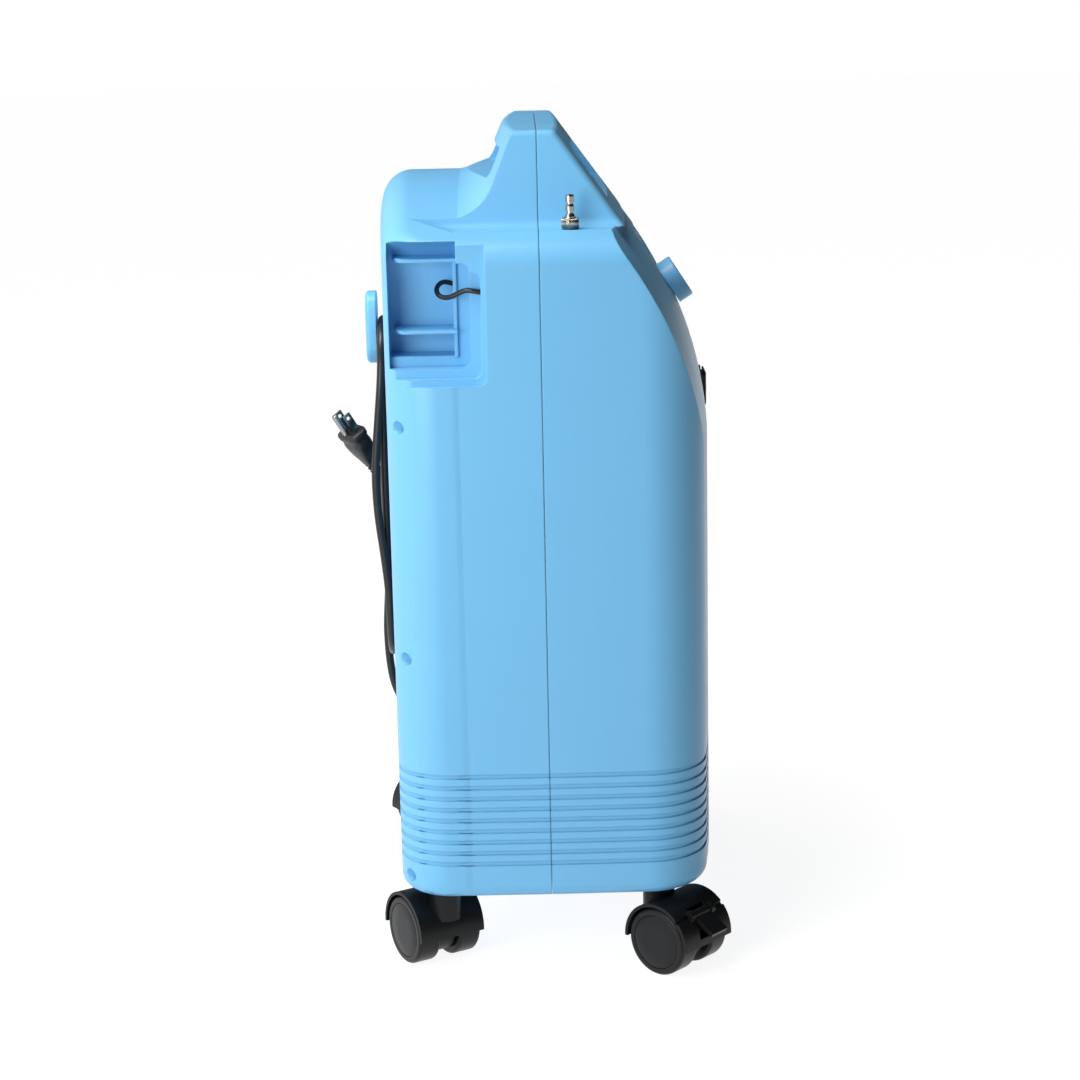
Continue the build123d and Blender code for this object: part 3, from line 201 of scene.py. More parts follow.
def curveLine(piece):
    # the middle line as the curve itself gives it
    depth = piece.data.bevel_depth
    piece.data.bevel_depth = 0
    bpy.context.view_layer.update()
    mesh = bakedMesh(piece)
    line = [vertex.co.copy() for vertex in mesh.vertices]
    bpy.data.meshes.remove(mesh)
    piece.data.bevel_depth = depth
    return line


def lineLength(line):
    return sum((b - a).length for a, b in zip(line, line[1:]))


route = list(powerCord["lead"])
for turn in range(powerCord["turns"]):
    route += turnPoints(powerCord, turn)
route += powerCord["tail"]
cordPiece = cordCurve("powerCord", inMetres(route), powerCord["diameter"])
cordLength = lineLength(curveLine(cordPiece))
print("power cord", round(cordLength, 3), "m")

tetherLead = {
    "diameter": 3.5 * mm,
    "route": [
        (-58, -135, 498.4), (-63, -136, 500.6), (-68, -139.5, 500.6), (-71.2, -146, 497),
        (-69.4, -151.5, 493), (-64.5, -155, 491.7), (-59.5, -158, 493.2), (-54.3, -160.3, 496.2),
        (-49.4, -162.5, 497.9), (-45, -163.8, 497.2), (-39.6, -164, 496.2),
    ],
}
tetherPiece = cordCurve("tetherLead", inMetres(tetherLead["route"]), tetherLead["diameter"])
tetherLength = lineLength(curveLine(tetherPiece))
print("tether", round(tetherLength, 4), "m")


def startMaterial(name, colour, roughness, metallic=0.0, ior=None):
    material = bpy.data.materials.new(name)
    material.use_nodes = True
    tree = material.node_tree
    shader = tree.nodes["Principled BSDF"]
    shader.inputs["Base Color"].default_value = toLinear(colour)
    shader.inputs["Roughness"].default_value = roughness
    shader.inputs["Metallic"].default_value = metallic
    if ior is not None:
        shader.inputs["IOR"].default_value = ior
    return material, tree, shader


def moulded(name, colour, roughness, grain, depth, cloud=90, tint=0.05, softEdge=0.0, ior=1.5):
    # thermoplastic from a textured tool: even colour with a faint flow mark, a fine grain in the gloss;
    # grain, depth, cloud and softEdge are real sizes in mm
    material, tree, shader = startMaterial(name, colour, roughness, ior=ior)
    place = addNode(tree, "ShaderNodeTexCoord").outputs["Object"]
    flow = addNode(tree, "ShaderNodeTexNoise", {"Scale": 1000 / cloud, "Detail": 3}, {"Vector": place})
    plain = toLinear(colour)
    darker = [c * (1 - tint) for c in plain[:3]] + [1]
    lighter = [min(1, c * (1 + tint)) for c in plain[:3]] + [1]
    mixed = addNode(tree, "ShaderNodeMix", {"data_type": "RGBA", 6: darker, 7: lighter}, {
        0: flow.outputs["Fac"]})
    tree.links.new(mixed.outputs[2], shader.inputs["Base Color"])
    grit = addNode(tree, "ShaderNodeTexNoise", {"Scale": 1000 / grain, "Detail": 2}, {"Vector": place})
    gloss = addNode(tree, "ShaderNodeMapRange", {
        "From Min": 0.3, "From Max": 0.7, "To Min": roughness - 0.04, "To Max": roughness + 0.05,
    }, {"Value": flow.outputs["Fac"]})
    tree.links.new(gloss.outputs["Result"], shader.inputs["Roughness"])
    bump = addNode(tree, "ShaderNodeBump", {"Strength": 0.5, "Distance": depth * mm}, {
        "Height": grit.outputs["Fac"]})
    if softEdge:
        rounded = addNode(tree, "ShaderNodeBevel", {"samples": 4, "Radius": softEdge * mm})
        tree.links.new(rounded.outputs["Normal"], bump.inputs["Normal"])
    tree.links.new(bump.outputs["Normal"], shader.inputs["Normal"])
    return material


def metal(name, colour, roughness, lineWidth, depth, stretch=(1, 1, 12)):
    # turned, drawn or plated metal: fine tool lines run round or along it
    material, tree, shader = startMaterial(name, colour, roughness, metallic=1.0)
    place = addNode(tree, "ShaderNodeTexCoord").outputs["Object"]
    scaled = addNode(tree, "ShaderNodeMapping", {"Scale": stretch}, {"Vector": place})
    lines = addNode(tree, "ShaderNodeTexNoise", {"Scale": 1000 / lineWidth / max(stretch), "Detail": 3}, {
        "Vector": scaled.outputs["Vector"]})
    gloss = addNode(tree, "ShaderNodeMapRange", {
        "From Min": 0.3, "From Max": 0.7, "To Min": roughness * 0.8, "To Max": roughness * 1.3,
    }, {"Value": lines.outputs["Fac"]})
    tree.links.new(gloss.outputs["Result"], shader.inputs["Roughness"])
    bump = addNode(tree, "ShaderNodeBump", {"Strength": 0.4, "Distance": depth * mm}, {
        "Height": lines.outputs["Fac"]})
    tree.links.new(bump.outputs["Normal"], shader.inputs["Normal"])
    return material


def openFoam(name, colour):
    # reticulated polyurethane filter foam: 2 mm cells, drawn at their real size, with painted shade in the open
    # cells between the strands
    material, tree, shader = startMaterial(name, colour, 0.95)
    place = addNode(tree, "ShaderNodeTexCoord").outputs["Object"]
    cells = addNode(tree, "ShaderNodeTexVoronoi", {"Scale": 500.0, "feature": "DISTANCE_TO_EDGE"}, {
        "Vector": place})
    ramp = addNode(tree, "ShaderNodeMapRange", {
        "From Min": 0.0, "From Max": 0.25, "To Min": 1.0, "To Max": 0.25}, {
        "Value": cells.outputs["Distance"]})
    # painted shade: the middle of each open cell is drawn at a fifth of the foam's colour, as shade seen deeper in
    # the foam
    deep = [c * 0.2 for c in toLinear(colour)[:3]] + [1]
    tinted = addNode(tree, "ShaderNodeMix", {"data_type": "RGBA", 6: deep, 7: toLinear(colour)}, {
        0: ramp.outputs["Result"]})
    tree.links.new(tinted.outputs[2], shader.inputs["Base Color"])
    bump = addNode(tree, "ShaderNodeBump", {"Strength": 1.0, "Distance": 1.0 * mm}, {
        "Height": ramp.outputs["Result"]})
    tree.links.new(bump.outputs["Normal"], shader.inputs["Normal"])
    return material


def clearWindow(name, colour):
    # smoked acrylic window, polished
    material, tree, shader = startMaterial(name, colour, 0.06, ior=1.49)
    place = addNode(tree, "ShaderNodeTexCoord").outputs["Object"]
    haze = addNode(tree, "ShaderNodeTexNoise", {"Scale": 120.0, "Detail": 2}, {"Vector": place})
    gloss = addNode(tree, "ShaderNodeMapRange", {"To Min": 0.04, "To Max": 0.1}, {
        "Value": haze.outputs["Fac"]})
    tree.links.new(gloss.outputs["Result"], shader.inputs["Roughness"])
    return material


materials = {
    # sky-blue ABS from a finely sparked tool: satin, soft-edged
    "casing_plastic": moulded(
        "satinBlueAbs", "#74BCE8", 0.34, 0.7, 0.012, tint=0.02, softEdge=1.6, ior=1.42),
    "filter_plastic": moulded("satinBlueAbsDoor", "#70B7E4", 0.4, 0.7, 0.015, tint=0.02, softEdge=0.5),
    # black glass-filled nylon: dull, slightly grainy
    "black_plastic": moulded("mouldedBlackNylon", "#1B1C1F", 0.42, 0.8, 0.03, tint=0.12, softEdge=0.3),
    "key_plastic": moulded("glossGreyAbs", "#C9CED3", 0.25, 0.6, 0.006, tint=0.02, softEdge=0.4),
    "lcd_glass": clearWindow("smokedAcrylic", "#39443F"),
    "red_plastic": moulded("glossRedNylon", "#B02318", 0.3, 0.6, 0.01, tint=0.05, softEdge=0.3),
    # plasticised PVC sheath: black with a soft sheen
    "cord_rubber": moulded("blackPvcSheath", "#0F1012", 0.33, 1.2, 0.05, cloud=20, tint=0.15),
    "nickel_plate": metal("nickelPlatedBrass", "#A19E99", 0.17, 0.25, 0.01, (1, 1, 10)),
    "zinc_steel": metal("zincPlatedSteel", "#B9BCC0", 0.34, 0.3, 0.01),
    "foam": openFoam("filterFoam", "#2A2A2C"),
    "mount_rubber": moulded("mouldedNeoprene", "#1A1A1A", 0.7, 0.8, 0.05, tint=0.15),
    "cast_aluminium": metal("dieCastAluminium", "#B4B7BB", 0.5, 1.2, 0.05, (1, 1, 1)),
    "grey_plastic": moulded("mouldedGreyAbs", "#A3A7AB", 0.5, 0.8, 0.03, tint=0.04),
    "bed_tube": metal("anodisedAluminium", "#BDC1C6", 0.38, 0.3, 0.01, (1, 1, 10)),
    "coil_winding": moulded("pottedCoil", "#26262A", 0.45, 0.9, 0.03, tint=0.1),
    "board_green": moulded("solderResist", "#17573A", 0.3, 1.5, 0.02, cloud=12, tint=0.25),
    # caster parts: textured black nylon, the wheels a little smoother than the hoods
    "caster_nylon": moulded(
        "texturedBlackNylon", "#0F1011", 0.42, 0.6, 0.03, tint=0.12, softEdge=0.5, ior=1.33),
    "wheel_nylon": moulded(
        "wheelBlackNylon", "#121315", 0.34, 0.7, 0.02, tint=0.12, softEdge=0.6, ior=1.33),
    "lever_nylon": moulded(
        "leverBlackNylon", "#101113", 0.36, 0.7, 0.02, tint=0.12, softEdge=0.4, ior=1.33),
    "pin_steel": metal("drawnSteelPin", "#A9ACB0", 0.3, 0.3, 0.01),
}
slotOf = {row["node"]: row["material_slot"] for row in frame["record"]["subparts"]}
for name, node in nodes.items():
    node.data.materials.clear()
    node.data.materials.append(materials[slotOf[name]])
print("materials", len(materials))


def coverPiece(piece, body, slot, *replaced):
    if not piece.data.materials:
        piece.data.materials.append(materials[slot])
    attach(piece, body)
    if replaced:
        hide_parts(*replaced)
    return piece


coverPiece(
    cordPiece, "machine", "cord_rubber", "power_cord_lead", "power_cord_hank", "power_cord_tail")
coverPiece(tetherPiece, "machine", "cord_rubber", "tether_cord")


# a small kit for pieces that Geometry Nodes make: a tree with named sizes, run once on a mesh
def newTree(name, sizes):
    tree = bpy.data.node_groups.new(name, "GeometryNodeTree")
    tree.interface.new_socket("Geometry", in_out="INPUT", socket_type="NodeSocketGeometry")
    tree.interface.new_socket("Geometry", in_out="OUTPUT", socket_type="NodeSocketGeometry")
    for label, kind in sizes.items():
        tree.interface.new_socket(label, in_out="INPUT", socket_type=kind)
    return tree, tree.nodes.new("NodeGroupInput"), tree.nodes.new("NodeGroupOutput")


def endTree(tree, given, result, geometry):
    real = addNode(tree, "GeometryNodeRealizeInstances", links={"Geometry": geometry})
    painted = addNode(tree, "GeometryNodeSetMaterial", links={
        "Geometry": real.outputs["Geometry"], "Material": given.outputs["Finish"]})
    tree.links.new(painted.outputs["Geometry"], result.inputs["Geometry"])


def runTree(tree, piece, values):
    modifier = piece.modifiers.new("build", "NODES")
    modifier.node_group = tree
    for item in tree.interface.items_tree:
        if item.in_out == "INPUT" and item.name in values:
            modifier[item.identifier] = values[item.name]
    mesh = bakedMesh(piece)
    mesh.name = piece.name
    piece.modifiers.remove(modifier)
    piece.data = mesh
    for face in mesh.polygons:
        face.use_smooth = True
    return piece


def place(piece, origin, acrossDir, upDir):
    # puts a mesh that was made at the origin where it belongs, and leaves the object unturned
    x = Vector(acrossDir).normalized()
    z = Vector(upDir).normalized()
    y = z.cross(x).normalized()
    turn = Matrix((x, y, z)).transposed().to_4x4()
    piece.data.transform(Matrix.Translation(inMetres([origin])[0]) @ turn)
    piece.data.update()
    return piece


def joinRings(shape, rings):
    for low, high in zip(rings, rings[1:]):
        for step in range(len(low)):
            after = (step + 1) % len(low)
            shape.faces.new((low[step], low[after], high[after], high[step]))


def lathe(name, profile, steps=48):
    # profile of (radius, height) in mm, closed when it starts and ends on the axis or on itself
    shape = bmesh.new()
    rings = []
    for radius, height in profile:
        ring = []
        for step in range(steps):
            turn = 2 * math.pi * step / steps
            ring.append(shape.verts.new((
                radius * mm * math.cos(turn), radius * mm * math.sin(turn), height * mm)))
        rings.append(ring)
    joinRings(shape, rings)
    bmesh.ops.remove_doubles(shape, verts=shape.verts, dist=1e-6)
    bmesh.ops.recalc_face_normals(shape, faces=shape.faces)
    return addPiece(name, meshFrom(name, shape))


# tapered, ribbed sleeves: a tube whose radius falls from foot to tip, with a rib at each step; mm
bootMesh = {"round": 40, "rows": 150}
bayBoot = {
    "place": (-104.5, 30, 92), "length": 22, "foot": 6.4, "tip": 4.3, "ribs": 6, "ribDepth": 0.9,
    "flange": 8.4,
}
plugBoot = {"length": 20, "foot": 5.2, "tip": 3.9, "ribs": 6, "ribDepth": 0.7, "inPlug": 3}


def boot(name, sizes):
    tree, given, result = newTree("ribbedSleeve", {
        "Length": "NodeSocketFloat", "Foot Radius": "NodeSocketFloat", "Tip Radius": "NodeSocketFloat",
        "Rib Count": "NodeSocketFloat", "Rib Depth": "NodeSocketFloat", "Finish": "NodeSocketMaterial"})
    tube = addNode(tree, "GeometryNodeMeshCylinder", {
        "Vertices": bootMesh["round"], "Side Segments": bootMesh["rows"], "Radius": 1.0, "Depth": 1.0})
    here = addNode(tree, "GeometryNodeInputPosition")
    split = addNode(tree, "ShaderNodeSeparateXYZ", links={"Vector": here.outputs["Position"]})
    along = addNode(tree, "ShaderNodeMath", {"operation": "ADD", 1: 0.5}, {0: split.outputs["Z"]})
    taper = addNode(tree, "ShaderNodeMapRange", links={
        "Value": along.outputs[0], "To Min": given.outputs["Foot Radius"],
        "To Max": given.outputs["Tip Radius"]})
    beat = addNode(tree, "ShaderNodeMath", {"operation": "MULTIPLY"}, {
        0: along.outputs[0], 1: given.outputs["Rib Count"]})
    share = addNode(tree, "ShaderNodeMath", {"operation": "FRACT"}, {0: beat.outputs[0]})
    rib = addNode(tree, "ShaderNodeMapRange", {
        "From Min": 0.45, "From Max": 0.6, "interpolation_type": "SMOOTHSTEP"}, {
        "Value": share.outputs[0]})
    groove = addNode(tree, "ShaderNodeMath", {"operation": "MULTIPLY"}, {
        0: rib.outputs["Result"], 1: given.outputs["Rib Depth"]})
    radius = addNode(tree, "ShaderNodeMath", {"operation": "SUBTRACT"}, {
        0: taper.outputs["Result"], 1: groove.outputs[0]})
    height = addNode(tree, "ShaderNodeMath", {"operation": "MULTIPLY"}, {
        0: along.outputs[0], 1: given.outputs["Length"]})
    parts = [
        addNode(tree, "ShaderNodeMath", {"operation": "MULTIPLY"}, {
            0: split.outputs[axis], 1: radius.outputs[0]}) for axis in ("X", "Y")]
    moved = addNode(tree, "ShaderNodeCombineXYZ", links={
        "X": parts[0].outputs[0], "Y": parts[1].outputs[0], "Z": height.outputs[0]})
    shaped = addNode(tree, "GeometryNodeSetPosition", links={
        "Geometry": tube.outputs["Mesh"], "Position": moved.outputs["Vector"]})
    endTree(tree, given, result, shaped.outputs["Geometry"])
    piece = addPiece(name, bpy.data.meshes.new(name))
    return runTree(tree, piece, {
        "Length": sizes["length"] * mm, "Foot Radius": sizes["foot"] * mm,
        "Tip Radius": sizes["tip"] * mm, "Rib Count": float(sizes["ribs"]),
        "Rib Depth": sizes["ribDepth"] * mm, "Finish": materials["mount_rubber"]})


def bothBoots():
    # sleeve at the bottom of the bay, on its flange
    foot = bayBoot["place"]
    sleeve = place(boot("bayBoot", bayBoot), foot, (1, 0, 0), (0, 0, 1))
    radius = bayBoot["flange"]
    flange = lathe("bayBootFlange", [
        (0, 0), (radius, 0), (radius, 1.2), (radius - 0.5, 1.9), (bayBoot["foot"] + 0.6, 2.2),
        (bayBoot["foot"] - 0.4, 3.4), (0, 3.4)])
    place(flange, foot, (1, 0, 0), (0, 0, 1))
    coverPiece(sleeve, "machine", "mount_rubber", "cord_gland")
    coverPiece(flange, "machine", "mount_rubber")
    # and the one on the plug, which runs back along the cord
    end = Vector(powerCord["tail"][-1])
    axis = (end - Vector(powerCord["tail"][-2])).normalized()
    tail = place(boot("plugBoot", plugBoot), end + axis * plugBoot["inPlug"], (0, 1, 0), -axis)
    coverPiece(tail, "machine", "mount_rubber")
    return end, axis


# moulded plug: a stadium section that swells from the boot, with a waist for the fingers; mm
plugForm = {
    "steps": 48, "squareness": 0.55,
    # height, width, depth
    "sections": [
        (-1, 9, 8.6), (1, 11, 10), (5, 13.4, 11.4), (10, 18.4, 13.6), (14.5, 22.4, 15), (18, 24.2, 15.6),
        (20.5, 24.6, 15.7), (22, 23.8, 15), (24.5, 23.8, 15), (26, 25.6, 16.7), (29.2, 25.8, 16.8),
        (30, 24.6, 15.6),
    ],
}


def plugShell(end, axis, form):
    shape = bmesh.new()
    rings = []
    for height, wide, deep in form["sections"]:
        ring = []
        for step in range(form["steps"]):
            turn = 2 * math.pi * step / form["steps"]
            c, q = math.cos(turn), math.sin(turn)
            x = math.copysign(abs(c) ** form["squareness"], c) * wide / 2
            y = math.copysign(abs(q) ** form["squareness"], q) * deep / 2
            ring.append(shape.verts.new((x * mm, y * mm, height * mm)))
        rings.append(ring)
    joinRings(shape, rings)
    shape.faces.new(list(reversed(rings[0])))
    shape.faces.new(rings[-1])
    bmesh.ops.recalc_face_normals(shape, faces=shape.faces)
    piece = addPiece("plugShell", meshFrom("plugShell", shape))
    place(piece, end, (axis.y, -axis.x, 0), axis)
    return coverPiece(piece, "machine", "black_plastic", "plug_body")


plugEnd, plugAxis = bothBoots()
plugPiece = plugShell(plugEnd, plugAxis, plugForm)
print("boots and plug")

# rear corners: a thin moulded skin that rounds each upright corner right out to the flank,
# with the level grooves of the foot running on through it; layout mm
casingPlan = {
    "side": 175.0, "endSide": 173.0, "back": -112.6, "front": 122.6, "backCrown": 2300.0,
    "frontCrown": 1000.0, "backCorner": 38.0, "footZ": 62.0, "footRound": 10.0,
}
cornerSkin = {
    "flatTurn": 0.21,               # radians: the flat under the skin, from the crown's axis
    "seek": (-100.0, -76.0, -50.0),             # x behind the flat, on it and in front of it
    "sunk": 0.4, "columns": 26, "footRows": 10, "footStart": 0.3,
    # it stands a hair proud, and dips under the casing's own surface past each end of the flat
    "proud": 0.03, "pastBack": (1.5, 3.0), "pastFront": (3.0, 6.0), "dips": (-0.01, -0.4),
    "tops": {"near": 432.8, "far": 535.8},      # under the pocket; under the ledge
    "grooves": 9, "grooveFirst": 87.3, "groovePitch": 8.15, "grooveHeight": 3.0, "grooveDepth": 1.0,
    "grooveWall": 0.02, "middleRow": 300.0,
}


def cornerLine(plan):
    # half width of the casing at x: the crowned flank, then the rounded back corner
    side, endSide = plan["side"], plan["endSide"]
    backEnd = plan["back"] + endSide ** 2 / (2 * plan["backCrown"])
    frontEnd = plan["front"] - endSide ** 2 / (2 * plan["frontCrown"])
    middle, reach = (frontEnd + backEnd) / 2, (frontEnd - backEnd) / 2
    centreY = (side + endSide - (reach ** 2 - middle ** 2) / (side - endSide)) / 2
    flank = side - centreY
    corner = plan["backCorner"]
    cornerX, cornerY = backEnd + corner, endSide - corner
    for _ in range(12):             # the corner's centre lies one radius inside both crowns
        cornerX = plan["back"] + plan["backCrown"] - math.sqrt(
            (plan["backCrown"] - corner) ** 2 - cornerY ** 2)
        cornerY = centreY + math.sqrt((flank - corner) ** 2 - (cornerX - middle) ** 2)

    def halfWidth(x, inset):
        if x > cornerX:
            return centreY + math.sqrt((flank - inset) ** 2 - (x - middle) ** 2)
        return cornerY + math.sqrt(max((corner - inset) ** 2 - (x - cornerX) ** 2, 0.0))

    return halfWidth


def skinRows(plan, skin, top):
    # (height, inset) pairs: the rounded foot, then a step in and out at each groove
    rows = []
    for step in range(skin["footRows"]):
        rise = skin["footStart"] + (plan["footRound"] - skin["footStart"]) * step / (skin["footRows"] - 1)
        drop = plan["footRound"] - rise
        rows.append((plan["footZ"] + rise,
                     plan["footRound"] - math.sqrt(plan["footRound"] ** 2 - drop ** 2)))
    for groove in range(skin["grooves"]):
        foot = skin["grooveFirst"] + groove * skin["groovePitch"]
        head, depth, wall = foot + skin["grooveHeight"], skin["grooveDepth"], skin["grooveWall"]
        rows += [(foot, 0.0), (foot + wall, depth), (head - wall, depth), (head, 0.0)]
    return rows + [(skin["middleRow"], 0.0), (top, 0.0)]


def sheetRim(rows):
    # once round the edge of a sheet of rows
    rim = [row[0] for row in rows] + rows[-1][1:]
    return rim + [row[-1] for row in reversed(rows[:-1])] + rows[0][-2:0:-1]


def cornerPiece(name, side, plan, skin):
    halfWidth = cornerLine(plan)
    slope = math.tan(skin["flatTurn"])
    axisX = plan["front"] - plan["frontCrown"]

    def flat(x):
        return slope * (x - axisX)

    def crossing(inner, outer):
        # x at which the flat runs into the corner's own line
        for _ in range(40):
            middle = (inner + outer) / 2
            inner, outer = (middle, outer) if halfWidth(middle, 0) > flat(middle) else (inner, middle)
        return inner

    behind, inside, before = skin["seek"]
    backX, frontX = crossing(inside, behind), crossing(inside, before)
    columns = [(backX - past, dip) for past, dip in zip(skin["pastBack"], skin["dips"])][::-1]
    for i in range(skin["columns"] + 1):
        columns.append((backX + (frontX - backX) * i / skin["columns"], skin["proud"]))
    columns += [(frontX + past, dip) for past, dip in zip(skin["pastFront"], skin["dips"])]
    shape = bmesh.new()
    outerRows, innerRows = [], []
    for z, inset in skinRows(plan, skin, skin["tops"][name]):
        outerRow, innerRow = [], []
        for x, proud in columns:
            out = halfWidth(x, inset) + proud
            deep = min(flat(x), out) - skin["sunk"]
            outerRow.append(shape.verts.new(inMetres([(x, side * out, z)])[0]))
            innerRow.append(shape.verts.new(inMetres([(x, side * deep, z)])[0]))
        outerRows.append(outerRow)
        innerRows.append(innerRow)
    for rows in (outerRows, innerRows):
        for low, high in zip(rows, rows[1:]):
            for i in range(len(columns) - 1):
                shape.faces.new((low[i], low[i + 1], high[i + 1], high[i]))
    rim, back = sheetRim(outerRows), sheetRim(innerRows)
    for i in range(len(rim)):
        j = (i + 1) % len(rim)
        shape.faces.new((rim[i], rim[j], back[j], back[i]))
    bmesh.ops.recalc_face_normals(shape, faces=shape.faces)
    mesh = meshFrom("cornerSkin_" + name, shape)
    mesh.set_sharp_from_angle(angle=math.radians(35))
    return addPiece("cornerSkin_" + name, mesh)


for name, side in (("near", -1), ("far", 1)):
    coverPiece(cornerPiece(name, side, casingPlan, cornerSkin), "machine", "casing_plastic")
print("rear corners")

# wheel caps: a flat moulded disc pressed into the dish of each wheel, over the axle's end
wheelCap = {"seat": 24.65, "face": 25.42, "crown": 0.06, "radius": 19.75, "edge": 0.3}


def capPiece(name, joint, side, sizes):
    seat, face, radius, edge = (sizes[key] for key in ("seat", "face", "radius", "edge"))
    cap = lathe(name, [
        (0, seat), (radius, seat), (radius, face - edge), (radius - 0.3 * edge, face - 0.3 * edge),
        (radius - edge, face), (radius / 2, face + 0.7 * sizes["crown"]), (0, face + sizes["crown"])], 64)
    outward = Vector(joint["axis"]) * side
    anchor = Vector(joint["pos_m"])
    centre = (anchor - Vector((layoutShift, 0, 0))) / mm
    return place(cap, centre, (0, 0, 1), outward)


for jointName, joint in joints.items():
    if jointName.startswith("roll_"):
        side = -1 if jointName.startswith("roll_a") else 1
        wheelName = joint["child"]
        coverPiece(capPiece(wheelName.replace("wheel", "wheelCap"), joint, side, wheelCap),
                   wheelName, "wheel_nylon")
print("wheel caps")

# outlet: a knurled collar on the ledge, under the barbed nipple
outletCollar = {
    "place": (21.6, -147.0, 536.0), "radius": 5.75, "bore": 3.83, "height": 8.0, "chamfer": 0.35,
    "ribs": 40, "ribWidth": 0.3, "ribShorter": 1.2, "ribSunk": 0.05,
}


def knurledCollar(sizes):
    tree, given, result = newTree("knurl", {
        "Radius": "NodeSocketFloat", "Height": "NodeSocketFloat", "Ribs": "NodeSocketInt",
        "Rib Width": "NodeSocketFloat", "Finish": "NodeSocketMaterial"})
    ring = addNode(tree, "GeometryNodeMeshCircle", links={
        "Vertices": given.outputs["Ribs"], "Radius": given.outputs["Radius"]})
    bar = addNode(tree, "GeometryNodeMeshCylinder", {"Vertices": 6}, {
        "Radius": given.outputs["Rib Width"], "Depth": given.outputs["Height"]})
    ribs = addNode(tree, "GeometryNodeInstanceOnPoints", links={
        "Points": ring.outputs["Mesh"], "Instance": bar.outputs["Mesh"]})
    both = addNode(tree, "GeometryNodeJoinGeometry")
    tree.links.new(ribs.outputs["Instances"], both.inputs["Geometry"])
    tree.links.new(given.outputs["Geometry"], both.inputs["Geometry"])
    endTree(tree, given, result, both.outputs["Geometry"])
    half, bore, cut = sizes["height"] / 2, sizes["bore"], sizes["chamfer"]
    wall = sizes["radius"] - sizes["ribSunk"]
    collar = lathe("outletCollar", [
        (bore, -half), (wall, -half), (wall, half - cut), (wall - cut, half), (bore, half), (bore, -half)])
    runTree(tree, collar, {
        "Radius": sizes["radius"] * mm, "Height": (sizes["height"] - sizes["ribShorter"]) * mm,
        "Ribs": sizes["ribs"], "Rib Width": sizes["ribWidth"] * mm, "Finish": materials["nickel_plate"]})
    x, y, z = sizes["place"]
    return place(collar, (x, y, z + half), (1, 0, 0), (0, 0, 1))


coverPiece(knurledCollar(outletCollar), "machine", "nickel_plate", "outlet_nut")
print("outlet collar")

# the fascia's own frame: its origin on the knob's axis, across the machine, up the slope and out
fascia = {"knobX": 96.45, "knobZ": 478.5, "tilt": 57.0, "displayRise": 35.0, "windowOut": -1.0}


def fasciaPoint(across, rise, out):
    tilt = math.radians(fascia["tilt"])
    return (
        fascia["knobX"] - math.cos(tilt) * rise + math.sin(tilt) * out, across,
        fascia["knobZ"] + math.sin(tilt) * rise + math.cos(tilt) * out)


def fasciaPlace(piece, across, rise, out):
    tilt = math.radians(fascia["tilt"])
    return place(piece, fasciaPoint(across, rise, out), (0, 1, 0), (math.sin(tilt), 0, math.cos(tilt)))


# printed scale: ticks round the knob, a long one at each numeral
flowScale = {
    "inner": 17.8, "long": 1.9, "short": 1.2, "width": 0.45, "sweep": 270.0,
    "longCount": 5, "shortCount": 17,
    "numerals": "12345", "numeralRadius": 21.4, "numeralHeight": 2.9, "ink": 0.06,
    "fontShare": 1.38,      # size of the type over the height of a figure
}


def tickRing(name, count, sizes, length):
    tree, given, result = newTree(name, {
        "Count": "NodeSocketInt", "Radius": "NodeSocketFloat", "Sweep": "NodeSocketFloat",
        "Length": "NodeSocketFloat", "Width": "NodeSocketFloat", "Ink": "NodeSocketFloat",
        "Finish": "NodeSocketMaterial"})
    start = math.radians(90 - sizes["sweep"] / 2)
    arc = addNode(tree, "GeometryNodeCurveArc", {"mode": "RADIUS", "Start Angle": start}, {
        "Resolution": given.outputs["Count"], "Radius": given.outputs["Radius"],
        "Sweep Angle": given.outputs["Sweep"]})
    size = addNode(tree, "ShaderNodeCombineXYZ", links={
        "X": given.outputs["Width"], "Y": given.outputs["Length"], "Z": given.outputs["Ink"]})
    bar = addNode(tree, "GeometryNodeMeshCube", links={"Size": size.outputs["Vector"]})
    heading = addNode(tree, "GeometryNodeInputTangent")
    turn = addNode(tree, "FunctionNodeAlignRotationToVector", {"axis": "X", "pivot_axis": "Z"}, {
        "Vector": heading.outputs["Tangent"]})
    ticks = addNode(tree, "GeometryNodeInstanceOnPoints", links={
        "Points": arc.outputs["Curve"], "Instance": bar.outputs["Mesh"],
        "Rotation": turn.outputs["Rotation"]})
    endTree(tree, given, result, ticks.outputs["Instances"])
    piece = addPiece(name, bpy.data.meshes.new(name))
    runTree(tree, piece, {
        "Count": count, "Radius": (sizes["inner"] + length / 2) * mm, "Sweep": math.radians(sizes["sweep"]),
        "Length": length * mm, "Width": sizes["width"] * mm, "Ink": sizes["ink"] * mm,
        "Finish": whiteInk})
    for face in piece.data.polygons:
        face.use_smooth = False
    return fasciaPlace(piece, 0, 0, sizes["ink"] / 2)


def numeral(character, across, rise, height):
    text = bpy.data.curves.new("numeral" + character, "FONT")
    text.body = character
    text.size = height * flowScale["fontShare"] * mm
    text.align_x = "CENTER"
    text.align_y = "CENTER"
    text.extrude = flowScale["ink"] / 2 * mm
    text.resolution_u = 6
    drawn = addPiece("numeralText" + character, text)
    mesh = bakedMesh(drawn)
    bpy.data.objects.remove(drawn)
    piece = addPiece("numeral" + character, mesh, whiteInk)
    return fasciaPlace(piece, across, rise, flowScale["ink"] / 2)


